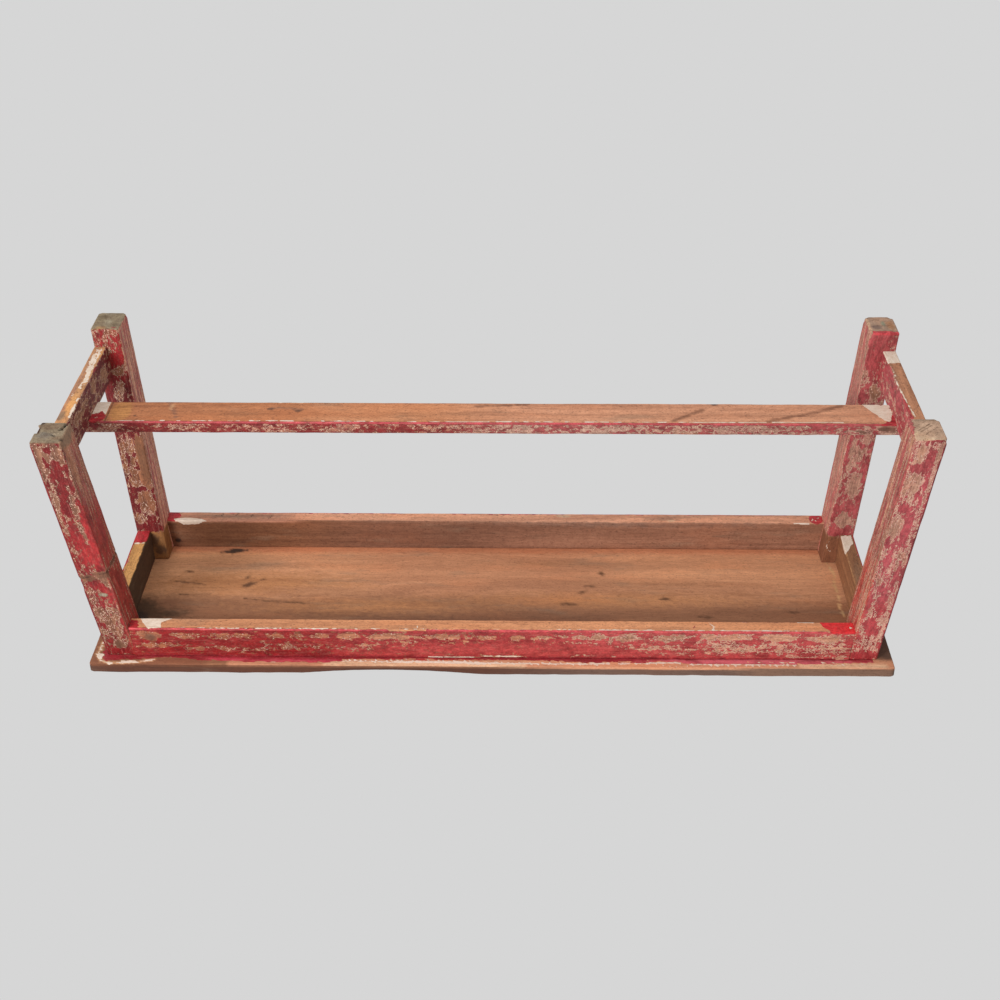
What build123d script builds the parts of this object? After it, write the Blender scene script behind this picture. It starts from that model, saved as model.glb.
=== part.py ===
from build123d import *

import math
import os

# A low painted farmhouse bench. Four square legs splay outwards in both directions. Aprons
# join their tops under a single seat board, a rung joins each pair of end legs near the
# floor, and one long stretcher is housed in the upper edges of the two rungs.
# Millimetres, +Z up, feet on Z = 0, X along the seat, the front towards -Y.

# Seat board
seat_length = 1220.0
seat_width = 356.0
seat_thickness = 16.0
seat_corner_radius = 7.0
seat_top_rounding = 4.0
seat_under_rounding = 1.2
bench_height = 420.0

# Wane on the seat's front top edge: a long shallow chamfer that fades out at both ends
wane_centre = 155.0
wane_length = 300.0
wane_drop = 9.0
wane_reach = 14.0
wane_cutter_height = 80.0

# Legs. The overhangs run from the legs' outer faces, where they meet the seat, to its edges
seat_end_overhang = 24.0
seat_side_overhang = 23.0
leg_width = 44.0
leg_depth = 58.0
leg_rounding = 2.4
leg_spread_x = 38.0

# How far each foot stands out beyond its own top, front to back: set by eye, so they differ
leg_spread_y = {
    "front_left_leg": 27.0,
    "front_right_leg": 46.0,
    "back_left_leg": 39.0,
    "back_right_leg": 46.0,
}

# Aprons. The long ones stand a little proud of the legs' tops, the back one further
apron_height = 53.0
long_apron_thickness = 26.0
long_apron_proud = {"front": 2.0, "back": 5.0}
end_apron_thickness = 21.0
end_apron_proud = 0.5
end_apron_lean = 0.06
apron_rounding = 1.6

# Rungs between the front and back legs, flush with the legs' outer faces
rung_bottom = 29.0
rung_height = 48.5
rung_thickness = 19.5
rung_rounding = 1.6

# Long stretcher, housed in the rungs' upper edges
stretcher_width = 60.0
stretcher_thickness = 18.6
stretcher_offset = 12.0
stretcher_rounding = 1.6
housing_depth = 6.0

# Mortise and tenon joints
tenon_thickness = 9.0
tenon_length = 27.0
tenon_root = 8.0
apron_tenon_lower_shoulder = 7.0
apron_tenon_upper_shoulder = 10.0
rung_tenon_length = 32.0
rung_tenon_shoulder = 7.0
mortise_end_clearance = 1.5

# Wooden pegs that pin the tenons, trimmed flush with the leg
peg_diameter = 8.0
peg_length = 34.0
peg_overhang = 6.0
long_apron_peg_drop = 20.0
end_apron_peg_drop = 38.0

# Iron nails driven flush: the seat to the aprons, and the stretcher to the rungs
nail_head_diameter = 8.0
nail_head_rim = 0.8
nail_head_depth = 2.6
nail_shank_diameter = 3.6
nail_tip_diameter = 1.2
seat_nail_bite = 36.0
stretcher_nail_bite = 23.0
long_apron_nail_count = 4
long_apron_nail_inset = 102.0
end_apron_nail_inset = 49.0
stretcher_nail_inset = 14.0

# Places that follow from the sizes above
seat_under = bench_height - seat_thickness
apron_bottom = seat_under - apron_height
rung_top = rung_bottom + rung_height
stretcher_bottom = rung_top - housing_depth
stretcher_top = stretcher_bottom + stretcher_thickness
leg_top_x = seat_length / 2 - seat_end_overhang
leg_top_y = seat_width / 2 - seat_side_overhang
long_apron_peg_height = seat_under - long_apron_peg_drop
end_apron_peg_height = seat_under - end_apron_peg_drop
rung_peg_height = (rung_bottom + rung_top) / 2

SIDE_X = {"left": -1, "right": 1}
SIDE_Y = {"front": -1, "back": 1}


def leg_name(side_y, side_x):
    return f"{side_y}_{side_x}_leg"


def leg_outer_x(height):
    """Distance from the middle of the bench to a leg's outer end face at a height."""
    return leg_top_x + leg_spread_x * (1 - height / seat_under)


def leg_outer_y(leg, height):
    """Distance from the middle of the bench to a leg's outer long face at a height."""
    return leg_top_y + leg_spread_y[leg] * (1 - height / seat_under)


def leg_inner_x(height):
    return leg_outer_x(height) - leg_width


def leg_inner_y(leg, height):
    return leg_outer_y(leg, height) - leg_depth


def long_apron_outer_y(side_y):
    return leg_top_y + long_apron_proud[side_y]


def long_apron_centre(side_y):
    return long_apron_outer_y(side_y) - long_apron_thickness / 2


def end_apron_outer_x(height):
    return leg_top_x + end_apron_proud + end_apron_lean * (seat_under - height)


def rounded_block(corners, radius, along):
    """A block through eight corners, with the edges that run mainly along one axis rounded."""
    block = ConvexPolyhedron(corners)
    long_edges = [edge for edge in block.edges() if abs((edge % 0.5).dot(along)) > 0.9]
    return fillet(long_edges, radius)


def leg_blank(side_y, side_x):
    """A leg before its mortises are cut: a square bar that leans outwards both ways."""
    leg = leg_name(side_y, side_x)
    corners = []
    for height in (0.0, seat_under):
        for x in (leg_inner_x(height), leg_outer_x(height)):
            for y in (leg_inner_y(leg, height), leg_outer_y(leg, height)):
                corners.append((SIDE_X[side_x] * x, SIDE_Y[side_y] * y, height))
    return rounded_block(corners, leg_rounding, Vector(0, 0, 1))


def long_apron_tenon(side_y, side_x, extra=0.0):
    """The tenon at one end of a front or back apron; extra lengthens it into a mortise cutter."""
    bottom = apron_bottom + apron_tenon_lower_shoulder
    top = seat_under - apron_tenon_upper_shoulder
    shoulder = leg_inner_x(seat_under)
    start = shoulder - tenon_root
    end = shoulder + tenon_length + extra
    return Pos(
        SIDE_X[side_x] * (start + end) / 2,
        SIDE_Y[side_y] * long_apron_centre(side_y),
        (bottom + top) / 2,
    ) * Box(end - start, tenon_thickness, top - bottom)


def long_apron(side_y):
    """The front or back apron: upright, with slanted shoulders that follow the legs."""
    outer = long_apron_outer_y(side_y)
    inner = outer - long_apron_thickness
    corners = []
    for height in (apron_bottom, seat_under):
        for x in (-leg_inner_x(height), leg_inner_x(height)):
            for y in (inner, outer):
                corners.append((x, SIDE_Y[side_y] * y, height))
    board = rounded_block(corners, apron_rounding, Vector(1, 0, 0))
    for side_x in SIDE_X:
        board += long_apron_tenon(side_y, side_x)
    return board


def cross_tenon(side_y, side_x, outer_x, thickness, bottom, top, length, extra=0.0):
    """The tenon at one end of an end apron or rung, leaning with the board that it belongs to."""
    leg = leg_name(side_y, side_x)
    shoulder = leg_inner_y(leg, top)
    inset = (thickness - tenon_thickness) / 2
    corners = []
    for height in (bottom, top):
        for x in (outer_x(height) - inset - tenon_thickness, outer_x(height) - inset):
            for y in (shoulder - tenon_root, shoulder + length + extra):
                corners.append((SIDE_X[side_x] * x, SIDE_Y[side_y] * y, height))
    return ConvexPolyhedron(corners)


def cross_board(side_x, outer_x, thickness, bottom, top, radius):
    """A board between the front and back legs of one end, leaning with its outer face."""
    corners = []
    for height in (bottom, top):
        for x in (outer_x(height) - thickness, outer_x(height)):
            for side_y in SIDE_Y:
                y = leg_inner_y(leg_name(side_y, side_x), height)
                corners.append((SIDE_X[side_x] * x, SIDE_Y[side_y] * y, height))
    return rounded_block(corners, radius, Vector(0, 1, 0))


def end_apron_tenon(side_y, side_x, extra=0.0):
    bottom = apron_bottom + apron_tenon_lower_shoulder
    top = seat_under - apron_tenon_upper_shoulder
    return cross_tenon(
        side_y, side_x, end_apron_outer_x, end_apron_thickness, bottom, top, tenon_length, extra
    )


def end_apron(side_x):
    board = cross_board(
        side_x, end_apron_outer_x, end_apron_thickness, apron_bottom, seat_under, apron_rounding
    )
    for side_y in SIDE_Y:
        board += end_apron_tenon(side_y, side_x)
    return board


def rung_tenon(side_y, side_x, extra=0.0):
    bottom = rung_bottom + rung_tenon_shoulder
    top = rung_top - rung_tenon_shoulder
    return cross_tenon(
        side_y, side_x, leg_outer_x, rung_thickness, bottom, top, rung_tenon_length, extra
    )


def rung(side_x):
    board = cross_board(
        side_x, leg_outer_x, rung_thickness, rung_bottom, rung_top, rung_rounding
    )
    for side_y in SIDE_Y:
        board += rung_tenon(side_y, side_x)
    return board


def stretcher_bar():
    """The long stretcher, which ends at the rungs' outer faces."""
    length = 2 * leg_outer_x(stretcher_top)
    bar = Box(length, stretcher_width, stretcher_thickness)
    bar = fillet(bar.edges().filter_by(Axis.X), stretcher_rounding)
    return Pos(0, stretcher_offset, (stretcher_bottom + stretcher_top) / 2) * bar


def housing(side_x):
    """The square-cornered seat for the stretcher in a rung's upper edge."""
    return Pos(SIDE_X[side_x] * leg_outer_x(rung_top), stretcher_offset, rung_top) * Box(
        3 * rung_thickness, stretcher_width, 2 * housing_depth
    )


def peg(start, direction):
    """A round peg driven from just outside a leg; it is trimmed flush by that leg's blank."""
    length = peg_length + peg_overhang
    axis = Vector(direction)
    origin = Vector(start) - axis * peg_overhang
    return Plane(origin=origin, z_dir=axis) * Cylinder(
        peg_diameter / 2, length, align=(Align.CENTER, Align.CENTER, Align.MIN)
    )


def long_apron_peg(side_y, side_x):
    leg = leg_name(side_y, side_x)
    x = leg_inner_x(seat_under) + tenon_length / 2
    y = leg_outer_y(leg, long_apron_peg_height)
    start = (SIDE_X[side_x] * x, SIDE_Y[side_y] * y, long_apron_peg_height)
    return peg(start, (0, -SIDE_Y[side_y], 0)) & leg_blank(side_y, side_x)


def end_apron_peg(side_y, side_x):
    leg = leg_name(side_y, side_x)
    x = leg_outer_x(end_apron_peg_height)
    y = leg_inner_y(leg, seat_under) + tenon_length / 2
    start = (SIDE_X[side_x] * x, SIDE_Y[side_y] * y, end_apron_peg_height)
    return peg(start, (-SIDE_X[side_x], 0, 0)) & leg_blank(side_y, side_x)


def rung_peg(side_y, side_x):
    leg = leg_name(side_y, side_x)
    x = leg_outer_x(rung_peg_height)
    y = leg_inner_y(leg, rung_top) + rung_tenon_length / 2
    start = (SIDE_X[side_x] * x, SIDE_Y[side_y] * y, rung_peg_height)
    return peg(start, (-SIDE_X[side_x], 0, 0)) & leg_blank(side_y, side_x)


def nail(x, y, surface, length):
    """A nail driven straight down: a flush head that tapers underneath, and a tapered shank."""
    head_radius = nail_head_diameter / 2
    shank_radius = nail_shank_diameter / 2
    tip_radius = nail_tip_diameter / 2
    outline = Polyline(
        (0, 0),
        (head_radius, 0),
        (head_radius, -nail_head_rim),
        (shank_radius, -nail_head_depth),
        (tip_radius, -length),
        (0, -length),
        close=True,
    )
    profile = make_face(Plane.XZ * outline)
    return Pos(x, y, surface) * revolve(profile, Axis.Z)


def wane_cutter():
    """A very large cylinder whose side grazes the front top edge and takes off the wane."""
    slope = math.hypot(wane_drop, wane_reach)
    depth = wane_drop * wane_reach / slope
    radius = (wane_length / 2) ** 2 / (2 * depth)
    along = Vector(0, wane_reach, wane_drop) / slope
    outward = Vector(0, -wane_drop, wane_reach) / slope
    middle = Vector(
        wane_centre, -seat_width / 2 + wane_reach / 2, bench_height - wane_drop / 2
    )
    frame = Plane(origin=middle + outward * radius, x_dir=(1, 0, 0), z_dir=along)
    return frame * Cylinder(radius, wane_cutter_height)


def seat_blank():
    board = Box(seat_length, seat_width, seat_thickness)
    board = fillet(board.edges().filter_by(Axis.Z), seat_corner_radius)
    board = fillet(board.faces().sort_by(Axis.Z)[-1].edges(), seat_top_rounding)
    board = fillet(board.faces().sort_by(Axis.Z)[0].edges(), seat_under_rounding)
    board = Pos(0, 0, seat_under + seat_thickness / 2) * board
    return board - wane_cutter()


def seat_nails():
    """The nails through the seat, by the apron that each row bites into."""
    groups = {}
    length = seat_thickness + seat_nail_bite
    first_x = leg_inner_x(seat_under) - long_apron_nail_inset
    spacing = 2 * first_x / (long_apron_nail_count - 1)
    for side_y, sign in SIDE_Y.items():
        groups[side_y] = [
            nail(
                first_x - index * spacing,
                sign * long_apron_centre(side_y),
                bench_height,
                length,
            )
            for index in range(long_apron_nail_count)
        ]
    middle_x = end_apron_outer_x(seat_under) - end_apron_thickness / 2
    for side_x, sign in SIDE_X.items():
        groups[side_x] = [
            nail(
                sign * middle_x,
                nail_sign * (leg_top_y - leg_depth - end_apron_nail_inset),
                bench_height,
                length,
            )
            for nail_sign in (-1, 1)
        ]
    return groups


def stretcher_nails(side_x):
    """Two nails at one end of the stretcher, down into the rung."""
    x = SIDE_X[side_x] * (leg_outer_x(rung_top) - rung_thickness / 2)
    out = stretcher_width / 2 - stretcher_nail_inset
    length = stretcher_thickness + stretcher_nail_bite
    return [nail(x, stretcher_offset + sign * out, stretcher_top, length) for sign in (-1, 1)]


def finished_leg(side_y, side_x):
    """A leg with its three mortises and its three peg holes."""
    body = leg_blank(side_y, side_x)
    body -= long_apron_tenon(side_y, side_x, mortise_end_clearance)
    body -= end_apron_tenon(side_y, side_x, mortise_end_clearance)
    body -= rung_tenon(side_y, side_x, mortise_end_clearance)
    for make_peg in (long_apron_peg, end_apron_peg, rung_peg):
        body -= make_peg(side_y, side_x)
    return body


def take_out(board, pieces):
    """The board with a hole for each piece that is driven through it."""
    for piece in pieces:
        board -= piece
    return board


def build_nodes():
    """Every node of the bench by name; a group of equal pegs or nails is one compound."""
    nodes = {}
    nails = seat_nails()
    every_seat_nail = [one for group in nails.values() for one in group]
    nodes["seat_board"] = take_out(seat_blank(), every_seat_nail)
    for side_y in SIDE_Y:
        pegs = [long_apron_peg(side_y, side_x) for side_x in SIDE_X]
        nodes[f"{side_y}_apron"] = take_out(long_apron(side_y), pegs + nails[side_y])
        nodes[f"{side_y}_apron_pegs"] = Compound(children=pegs)
        nodes[f"{side_y}_seat_nails"] = Compound(children=nails[side_y])
        for side_x in SIDE_X:
            nodes[leg_name(side_y, side_x)] = finished_leg(side_y, side_x)
    bar = stretcher_bar()
    for side_x in SIDE_X:
        pegs = [end_apron_peg(side_y, side_x) for side_y in SIDE_Y]
        nodes[f"{side_x}_apron"] = take_out(end_apron(side_x), pegs + nails[side_x])
        nodes[f"{side_x}_apron_pegs"] = Compound(children=pegs)
        nodes[f"{side_x}_seat_nails"] = Compound(children=nails[side_x])
        pegs = [rung_peg(side_y, side_x) for side_y in SIDE_Y]
        bar_nails = stretcher_nails(side_x)
        nodes[f"{side_x}_rung"] = take_out(rung(side_x) - housing(side_x), pegs + bar_nails)
        nodes[f"{side_x}_rung_pegs"] = Compound(children=pegs)
        nodes[f"{side_x}_stretcher_nails"] = Compound(children=bar_nails)
        bar = take_out(bar, bar_nails)
    nodes["stretcher"] = bar
    return nodes


os.makedirs("parts", exist_ok=True)
for name, shape in build_nodes().items():
    export_step(shape, f"parts/{name}.step")
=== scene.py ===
"""The dressed model of a low farmhouse bench: worn red paint over old boards.

Sizes are in millimetres until a mesh is made, and in metres from there on. The bench
stands on Z = 0 with its length along X and its front towards -Y.
"""

from __future__ import annotations

import itertools
import logging
import math
from dataclasses import dataclass, field, fields, replace
from enum import Enum
from typing import Callable, Iterable, Sequence

import bpy
import numpy as np
from mathutils import Matrix, Vector

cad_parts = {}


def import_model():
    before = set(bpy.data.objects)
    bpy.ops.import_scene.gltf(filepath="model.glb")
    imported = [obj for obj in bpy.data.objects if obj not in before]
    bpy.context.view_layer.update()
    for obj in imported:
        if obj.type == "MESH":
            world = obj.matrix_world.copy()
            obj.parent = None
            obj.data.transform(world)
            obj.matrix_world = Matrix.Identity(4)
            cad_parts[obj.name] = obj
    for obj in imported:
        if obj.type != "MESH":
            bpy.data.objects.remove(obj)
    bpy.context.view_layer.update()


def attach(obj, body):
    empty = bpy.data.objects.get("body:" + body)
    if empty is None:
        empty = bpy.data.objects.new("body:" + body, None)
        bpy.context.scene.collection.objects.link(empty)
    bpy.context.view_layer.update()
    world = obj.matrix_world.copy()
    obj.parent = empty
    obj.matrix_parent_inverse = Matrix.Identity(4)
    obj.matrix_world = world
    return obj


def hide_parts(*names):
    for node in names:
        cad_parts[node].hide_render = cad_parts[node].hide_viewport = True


LOG = logging.getLogger("bench")
MM = 0.001

Point = tuple[float, float, float]
Spot = tuple[float, float]
Colour = tuple[float, float, float]


def srgb(red: int, green: int, blue: int) -> Colour:
    """Turn a colour as it is seen on a screen into the linear values that shaders use.

    Args:
        red: Red from 0 to 255.
        green: Green from 0 to 255.
        blue: Blue from 0 to 255.

    Returns:
        The three linear values from 0 to 1.
    """
    return tuple(
        part / 12.92 if part <= 0.04045 else ((part + 0.055) / 1.055) ** 2.4
        for part in (red / 255, green / 255, blue / 255)
    )


def smooth(low: float, high: float, values: np.ndarray) -> np.ndarray:
    """Ease from 0 at low to 1 at high; low may be above high, for a falling ease."""
    part = np.clip((values - low) / (high - low), 0.0, 1.0)
    return part * part * (3 - 2 * part)


def lattice_noise(points: np.ndarray, seed: int) -> np.ndarray:
    """Smooth random values that are the same in every run.

    Args:
        points: Places in lattice cells, as an (n, 3) array.
        seed: Which of many patterns to use.

    Returns:
        One value from -1 to 1 for each place.
    """
    cell = np.floor(points).astype(np.int64)
    part = points - cell
    part = part * part * (3 - 2 * part)
    total = np.zeros(len(points))
    for corner in itertools.product((0, 1), repeat=3):
        weight = np.prod(np.where(corner, part, 1 - part), axis=1)
        key = (cell + corner) @ np.array([374761393, 668265263, 2147483647]) + seed * 974634777
        key = (key ^ (key >> 13)) * 1274126177
        key = key ^ (key >> 16)
        total += weight * (key & 0xFFFF) / 0xFFFF
    return 2 * total - 1


def layered_noise(points: np.ndarray, seed: int, layers: int = 3) -> np.ndarray:
    """Lattice noise in several layers, each half as large and half as strong.

    Args:
        points: Places in cells of the largest layer, as an (n, 3) array.
        seed: Which of many patterns to use.
        layers: How many layers to add.

    Returns:
        One value for each place, mostly from -1 to 1.
    """
    total = np.zeros(len(points))
    for layer in range(layers):
        total += lattice_noise(points * 2**layer, seed + 17 * layer) / 2**layer
    return total / 1.4


class Face(Enum):
    """The six sides of a board; a and b are its two cross directions."""

    A_LOW = "a_low"
    A_HIGH = "a_high"
    B_LOW = "b_low"
    B_HIGH = "b_high"
    START = "start"
    END = "end"


@dataclass(frozen=True)
class Coat:
    """What lies on a patch of wood. A value of None leaves what was there.

    Attributes:
        paint: How much of the patch is under red paint, from 0 to 1.
        primer: How much of what is left is under pale primer, from 0 to 1.
        streak: How far the paint wore off in lengthwise streaks, not in flakes.
        red: The colour of the paint, from 0 to 255 as it is seen on a screen.
        wood: The colour of the wood, in the same way.
    """

    paint: float | None = None
    primer: float | None = None
    streak: float | None = None
    red: Colour | None = None
    wood: Colour | None = None


# Colours that several boards share, and coats that many marks put down
BRICK = (182, 60, 56)
ROSE = (196, 84, 82)
TAN = (186, 132, 106)
UMBER = (140, 90, 66)
BARE = Coat(paint=-1.5, primer=-1.0)
WORN = Coat(paint=0.12)
HELD = Coat(paint=0.86)
WHITE = Coat(paint=-1.5, primer=1.6)
CRUMBS = Coat(paint=0.3, primer=0.42)


def flaked(
    paint: float, red: Colour = BRICK, wood: Colour = TAN, primer: float = 0.0, streak: float = 0.0
) -> Coat:
    """Give a side's paint that has come off in flakes."""
    return Coat(paint, primer, streak, red, wood)


def streaked(paint: float, red: Colour, wood: Colour = UMBER, primer: float = 0.0) -> Coat:
    """Give a side's paint that has been rubbed off in streaks."""
    return Coat(paint, primer, 1.0, red, wood)


def bare(*wood: int) -> Coat:
    """Give bare wood of a colour, with nothing left on it; a few dark ones are painted shade."""
    return replace(BARE, wood=wood)


def worn(*wood: int) -> Coat:
    """Give wood of a colour with little paint left on it."""
    return replace(WORN, wood=wood)


def stain_and_shade(*wood: int) -> Coat:
    """Give a change of the wood's colour alone: a real stain in most places, painted shade in a few."""
    return Coat(wood=wood)


def daub(paint: float, *red: int) -> Coat:
    """Give paint of a colour, so much of it."""
    return Coat(paint=paint, red=red)


@dataclass
class Skin:
    """The skin of one board while it is shaped and coated.

    Attributes:
        points: Where each point is in the bench, in millimetres.
        place: Where it is in its board: along, across a and across b, in millimetres.
        size: The board's length and its two widths, in millimetres.
        faces: The corners of each face, as point numbers.
        shade: The coat at each point: a list of values for each part of a Coat.
    """

    points: np.ndarray
    place: np.ndarray
    size: Point
    faces: list[tuple[int, ...]]
    shade: dict[str, np.ndarray] = field(default_factory=dict)

    def on_face(self, face: Face) -> tuple[np.ndarray, np.ndarray, np.ndarray]:
        """Give every point's place as seen on one side of the board.

        Args:
            face: The side.

        Returns:
            The distance along, the distance across and the depth below that side.
        """
        along, a, b = self.place.T
        length, width_a, width_b = self.size
        return {
            Face.A_LOW: (along, b, a),
            Face.A_HIGH: (along, b, width_a - a),
            Face.B_LOW: (along, a, b),
            Face.B_HIGH: (along, a, width_b - b),
            Face.START: (a, b, along),
            Face.END: (a, b, length - along),
        }[face]

    def lay(self, coat: Coat, weight: np.ndarray) -> None:
        """Blend a coat into the points.

        Args:
            coat: The coat.
            weight: How much of it each point takes, from 0 to 1.
        """
        for name in ("paint", "primer", "streak"):
            value = getattr(coat, name)
            if value is not None:
                self.shade[name] += (value - self.shade[name]) * weight
        for name in ("red", "wood"):
            value = getattr(coat, name)
            if value is not None:
                self.shade[name] += (np.array(srgb(*value)) - self.shade[name]) * weight[:, None]


@dataclass(frozen=True)
class Mark:
    """A patch of some coat on one side of a board.

    Attributes:
        face: The side that it lies on.
        coat: What it puts there.
        ragged: How far its edge wanders, in millimetres.
        soft: How wide its edge is, in millimetres.
        wrap: How far it reaches over an arris, in millimetres.
    """

    face: Face
    coat: Coat
    ragged: float = 2.0
    soft: float = 1.5
    wrap: float = 3.0

    def reach(self, along: np.ndarray, across: np.ndarray) -> np.ndarray:
        """Give the distance outside the outline, in millimetres; below 0 is inside."""
        raise NotImplementedError

    def weight(self, skin: Skin, seed: int) -> np.ndarray:
        """Work out how much of the mark each point of a skin takes.

        Args:
            skin: The board's skin.
            seed: Which ragged edge to use.

        Returns:
            One weight for each point, from 0 to 1.
        """
        along, across, depth = skin.on_face(self.face)
        share = np.zeros(len(along))
        near = np.flatnonzero(depth < self.wrap)
        away = self.reach(along[near], across[near])
        close = away < 2 * self.ragged + self.soft
        near = near[close]
        cells = np.stack([along[near] / 6, across[near] / 4, depth[near] / 4], axis=1)
        away = away[close] + self.ragged * layered_noise(cells, seed, 3)
        inside = smooth(self.soft / 2, -self.soft / 2, away)
        share[near] = inside * smooth(self.wrap, 0.5 * self.wrap, depth[near])
        return share


@dataclass(frozen=True)
class Blot(Mark):
    """A mark with an elliptical outline, which may be turned by some degrees."""

    middle: Spot = (0.0, 0.0)
    half: Spot = (5.0, 5.0)
    turn: float = 0.0

    def reach(self, along: np.ndarray, across: np.ndarray) -> np.ndarray:
        """Give the distance outside the ellipse, in millimetres; below 0 is inside.

        Args:
            along: The points' distances along the side.
            across: Their distances across it.

        Returns:
            The distances.
        """
        angle = math.radians(self.turn)
        du = along - self.middle[0]
        dv = across - self.middle[1]
        long_way = (du * math.cos(angle) + dv * math.sin(angle)) / self.half[0]
        short_way = (dv * math.cos(angle) - du * math.sin(angle)) / self.half[1]
        return (np.hypot(long_way, short_way) - 1) * min(self.half)


@dataclass(frozen=True)
class Patch(Mark):
    """A mark with corners."""

    corners: tuple[Spot, ...] = ()

    def reach(self, along: np.ndarray, across: np.ndarray) -> np.ndarray:
        """Give the distance outside the outline, in millimetres; below 0 is inside.

        Args:
            along: The points' distances along the side.
            across: Their distances across it.

        Returns:
            The distances.
        """
        inside = np.zeros(len(along), dtype=bool)
        nearest = np.full(len(along), np.inf)
        for (u0, v0), (u1, v1) in zip(self.corners, self.corners[1:] + self.corners[:1]):
            nearest = np.minimum(nearest, line_distance(along, across, (u0, v0), (u1, v1)))
            crosses = (v0 > across) != (v1 > across)
            where = u0 + (across - v0) * (u1 - u0) / (v1 - v0 or 1e-9)
            inside ^= crosses & (along < where)
        return np.where(inside, -nearest, nearest)


@dataclass(frozen=True)
class Stroke(Mark):
    """A mark along a line, such as a drip, a crack or a run of primer on an arris."""

    line: tuple[Spot, ...] = ()
    width: float = 3.0

    def reach(self, along: np.ndarray, across: np.ndarray) -> np.ndarray:
        """Give the distance outside the line's width, in millimetres; below 0 is inside.

        Args:
            along: The points' distances along the side.
            across: Their distances across it.

        Returns:
            The distances.
        """
        nearest = np.full(len(along), np.inf)
        for start, end in zip(self.line, self.line[1:]):
            nearest = np.minimum(nearest, line_distance(along, across, start, end))
        return nearest - self.width / 2


def line_distance(along: np.ndarray, across: np.ndarray, start: Spot, end: Spot) -> np.ndarray:
    """Measure how far points are from a straight piece of line.

    Args:
        along: The points' distances along a side.
        across: Their distances across it.
        start: Where the line starts.
        end: Where it ends.

    Returns:
        The distances, in the same unit.
    """
    run = np.array(end) - np.array(start)
    from_start = np.stack([along - start[0], across - start[1]], axis=1)
    share = np.clip(from_start @ run / max(run @ run, 1e-9), 0.0, 1.0)
    gap = from_start - share[:, None] * run
    return np.hypot(gap[:, 0], gap[:, 1])


@dataclass(frozen=True)
class Dent:
    """A place where wood is gone: a chip, a split, a worm hole or a saw mark.

    Attributes:
        mark: Where it is.
        depth: How deep it goes, in millimetres.
    """

    mark: Mark
    depth: float


@dataclass
class Look:
    """What covers a board and what is gone from it, in the order in which it came.

    Attributes:
        coats: The coat of each side; the first is also on the sides that aren't named.
        marks: The patches over the coats.
        dents: Where wood is gone.
    """

    coats: list[tuple[Face, Coat]] = field(default_factory=list)
    marks: list[Mark] = field(default_factory=list)
    dents: list[Dent] = field(default_factory=list)


@dataclass
class Side:
    """One side of a board, through which marks and dents are added to the board's look.

    Places on it are in millimetres along and across. In every method, ragged is how far an
    edge wanders, soft is how wide it is, and wrap is how far it reaches over an arris.
    """

    look: Look
    face: Face

    def blots(
        self, coat: Coat, *places: tuple[float, ...],
        ragged: float = 2.0, soft: float = 5.0, wrap: float = 3.0,
    ) -> None:
        """Add several blots of one coat.

        Args:
            coat: The coat.
            places: For each blot, its middle along and across, its half sizes along and
                across, and if it is turned, by how many degrees.
            ragged: How far the edges wander.
            soft: How wide they are.
            wrap: How far they reach over an arris.
        """
        for u, v, half_u, half_v, *turn in places:
            edge = (self.face, coat, ragged, soft, wrap)
            self.look.marks.append(Blot(*edge, (u, v), (half_u, half_v), turn[0] if turn else 0.0))

    def strokes(
        self, coat: Coat, width: float, *lines: tuple[Spot, ...],
        ragged: float = 0.8, soft: float = 1.2, wrap: float = 2.5,
    ) -> None:
        """Add several strokes of one coat and width, each along its own line."""
        edge = (self.face, coat, ragged, soft, wrap)
        self.look.marks += [Stroke(*edge, line, width) for line in lines]

    def patch(
        self, coat: Coat, *corners: Spot, ragged: float = 2.0, soft: float = 1.5, wrap: float = 3.0
    ) -> None:
        """Add a patch with corners."""
        self.look.marks.append(Patch(self.face, coat, ragged, soft, wrap, corners))

    def tone(self, first: float, last: float, coat: Coat, soft: float = 40.0, wrap: float = 4.0) -> None:
        """Change the colours from one distance along to another."""
        corners = ((first, -60.0), (last, -60.0), (last, 420.0), (first, 420.0))
        self.patch(coat, *corners, ragged=6.0, soft=soft, wrap=wrap)

    def pits(self, *places: tuple[float, ...], ragged: float, soft: float) -> None:
        """Take several round pits out of the wood.

        Args:
            places: For each pit, its middle along and across, its half sizes along and
                across, how far it reaches over an arris and how deep it is.
            ragged: How far the edges wander.
            soft: How wide they are.
        """
        for u, v, half_u, half_v, wrap, depth in places:
            pit = Blot(self.face, BARE, ragged, soft, wrap, (u, v), (half_u, half_v))
            self.look.dents.append(Dent(pit, depth))

    def split(
        self, depth: float, width: float, *line: Spot, ragged: float, soft: float, wrap: float
    ) -> None:
        """Split the wood along a line."""
        stroke = Stroke(self.face, BARE, ragged, soft, wrap, line, width)
        self.look.dents.append(Dent(stroke, depth))

    def chip(self, depth: float, *corners: Spot, ragged: float, soft: float, wrap: float) -> None:
        """Take out a chip with corners."""
        patch = Patch(self.face, BARE, ragged, soft, wrap, corners)
        self.look.dents.append(Dent(patch, depth))


def covered(faces: Sequence[Face], *coats: Coat) -> tuple[Side, ...]:
    """Start a board's look with the coats of its sides, and give those sides."""
    look = Look(list(zip(faces, coats)))
    return tuple(Side(look, face) for face in faces)


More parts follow.
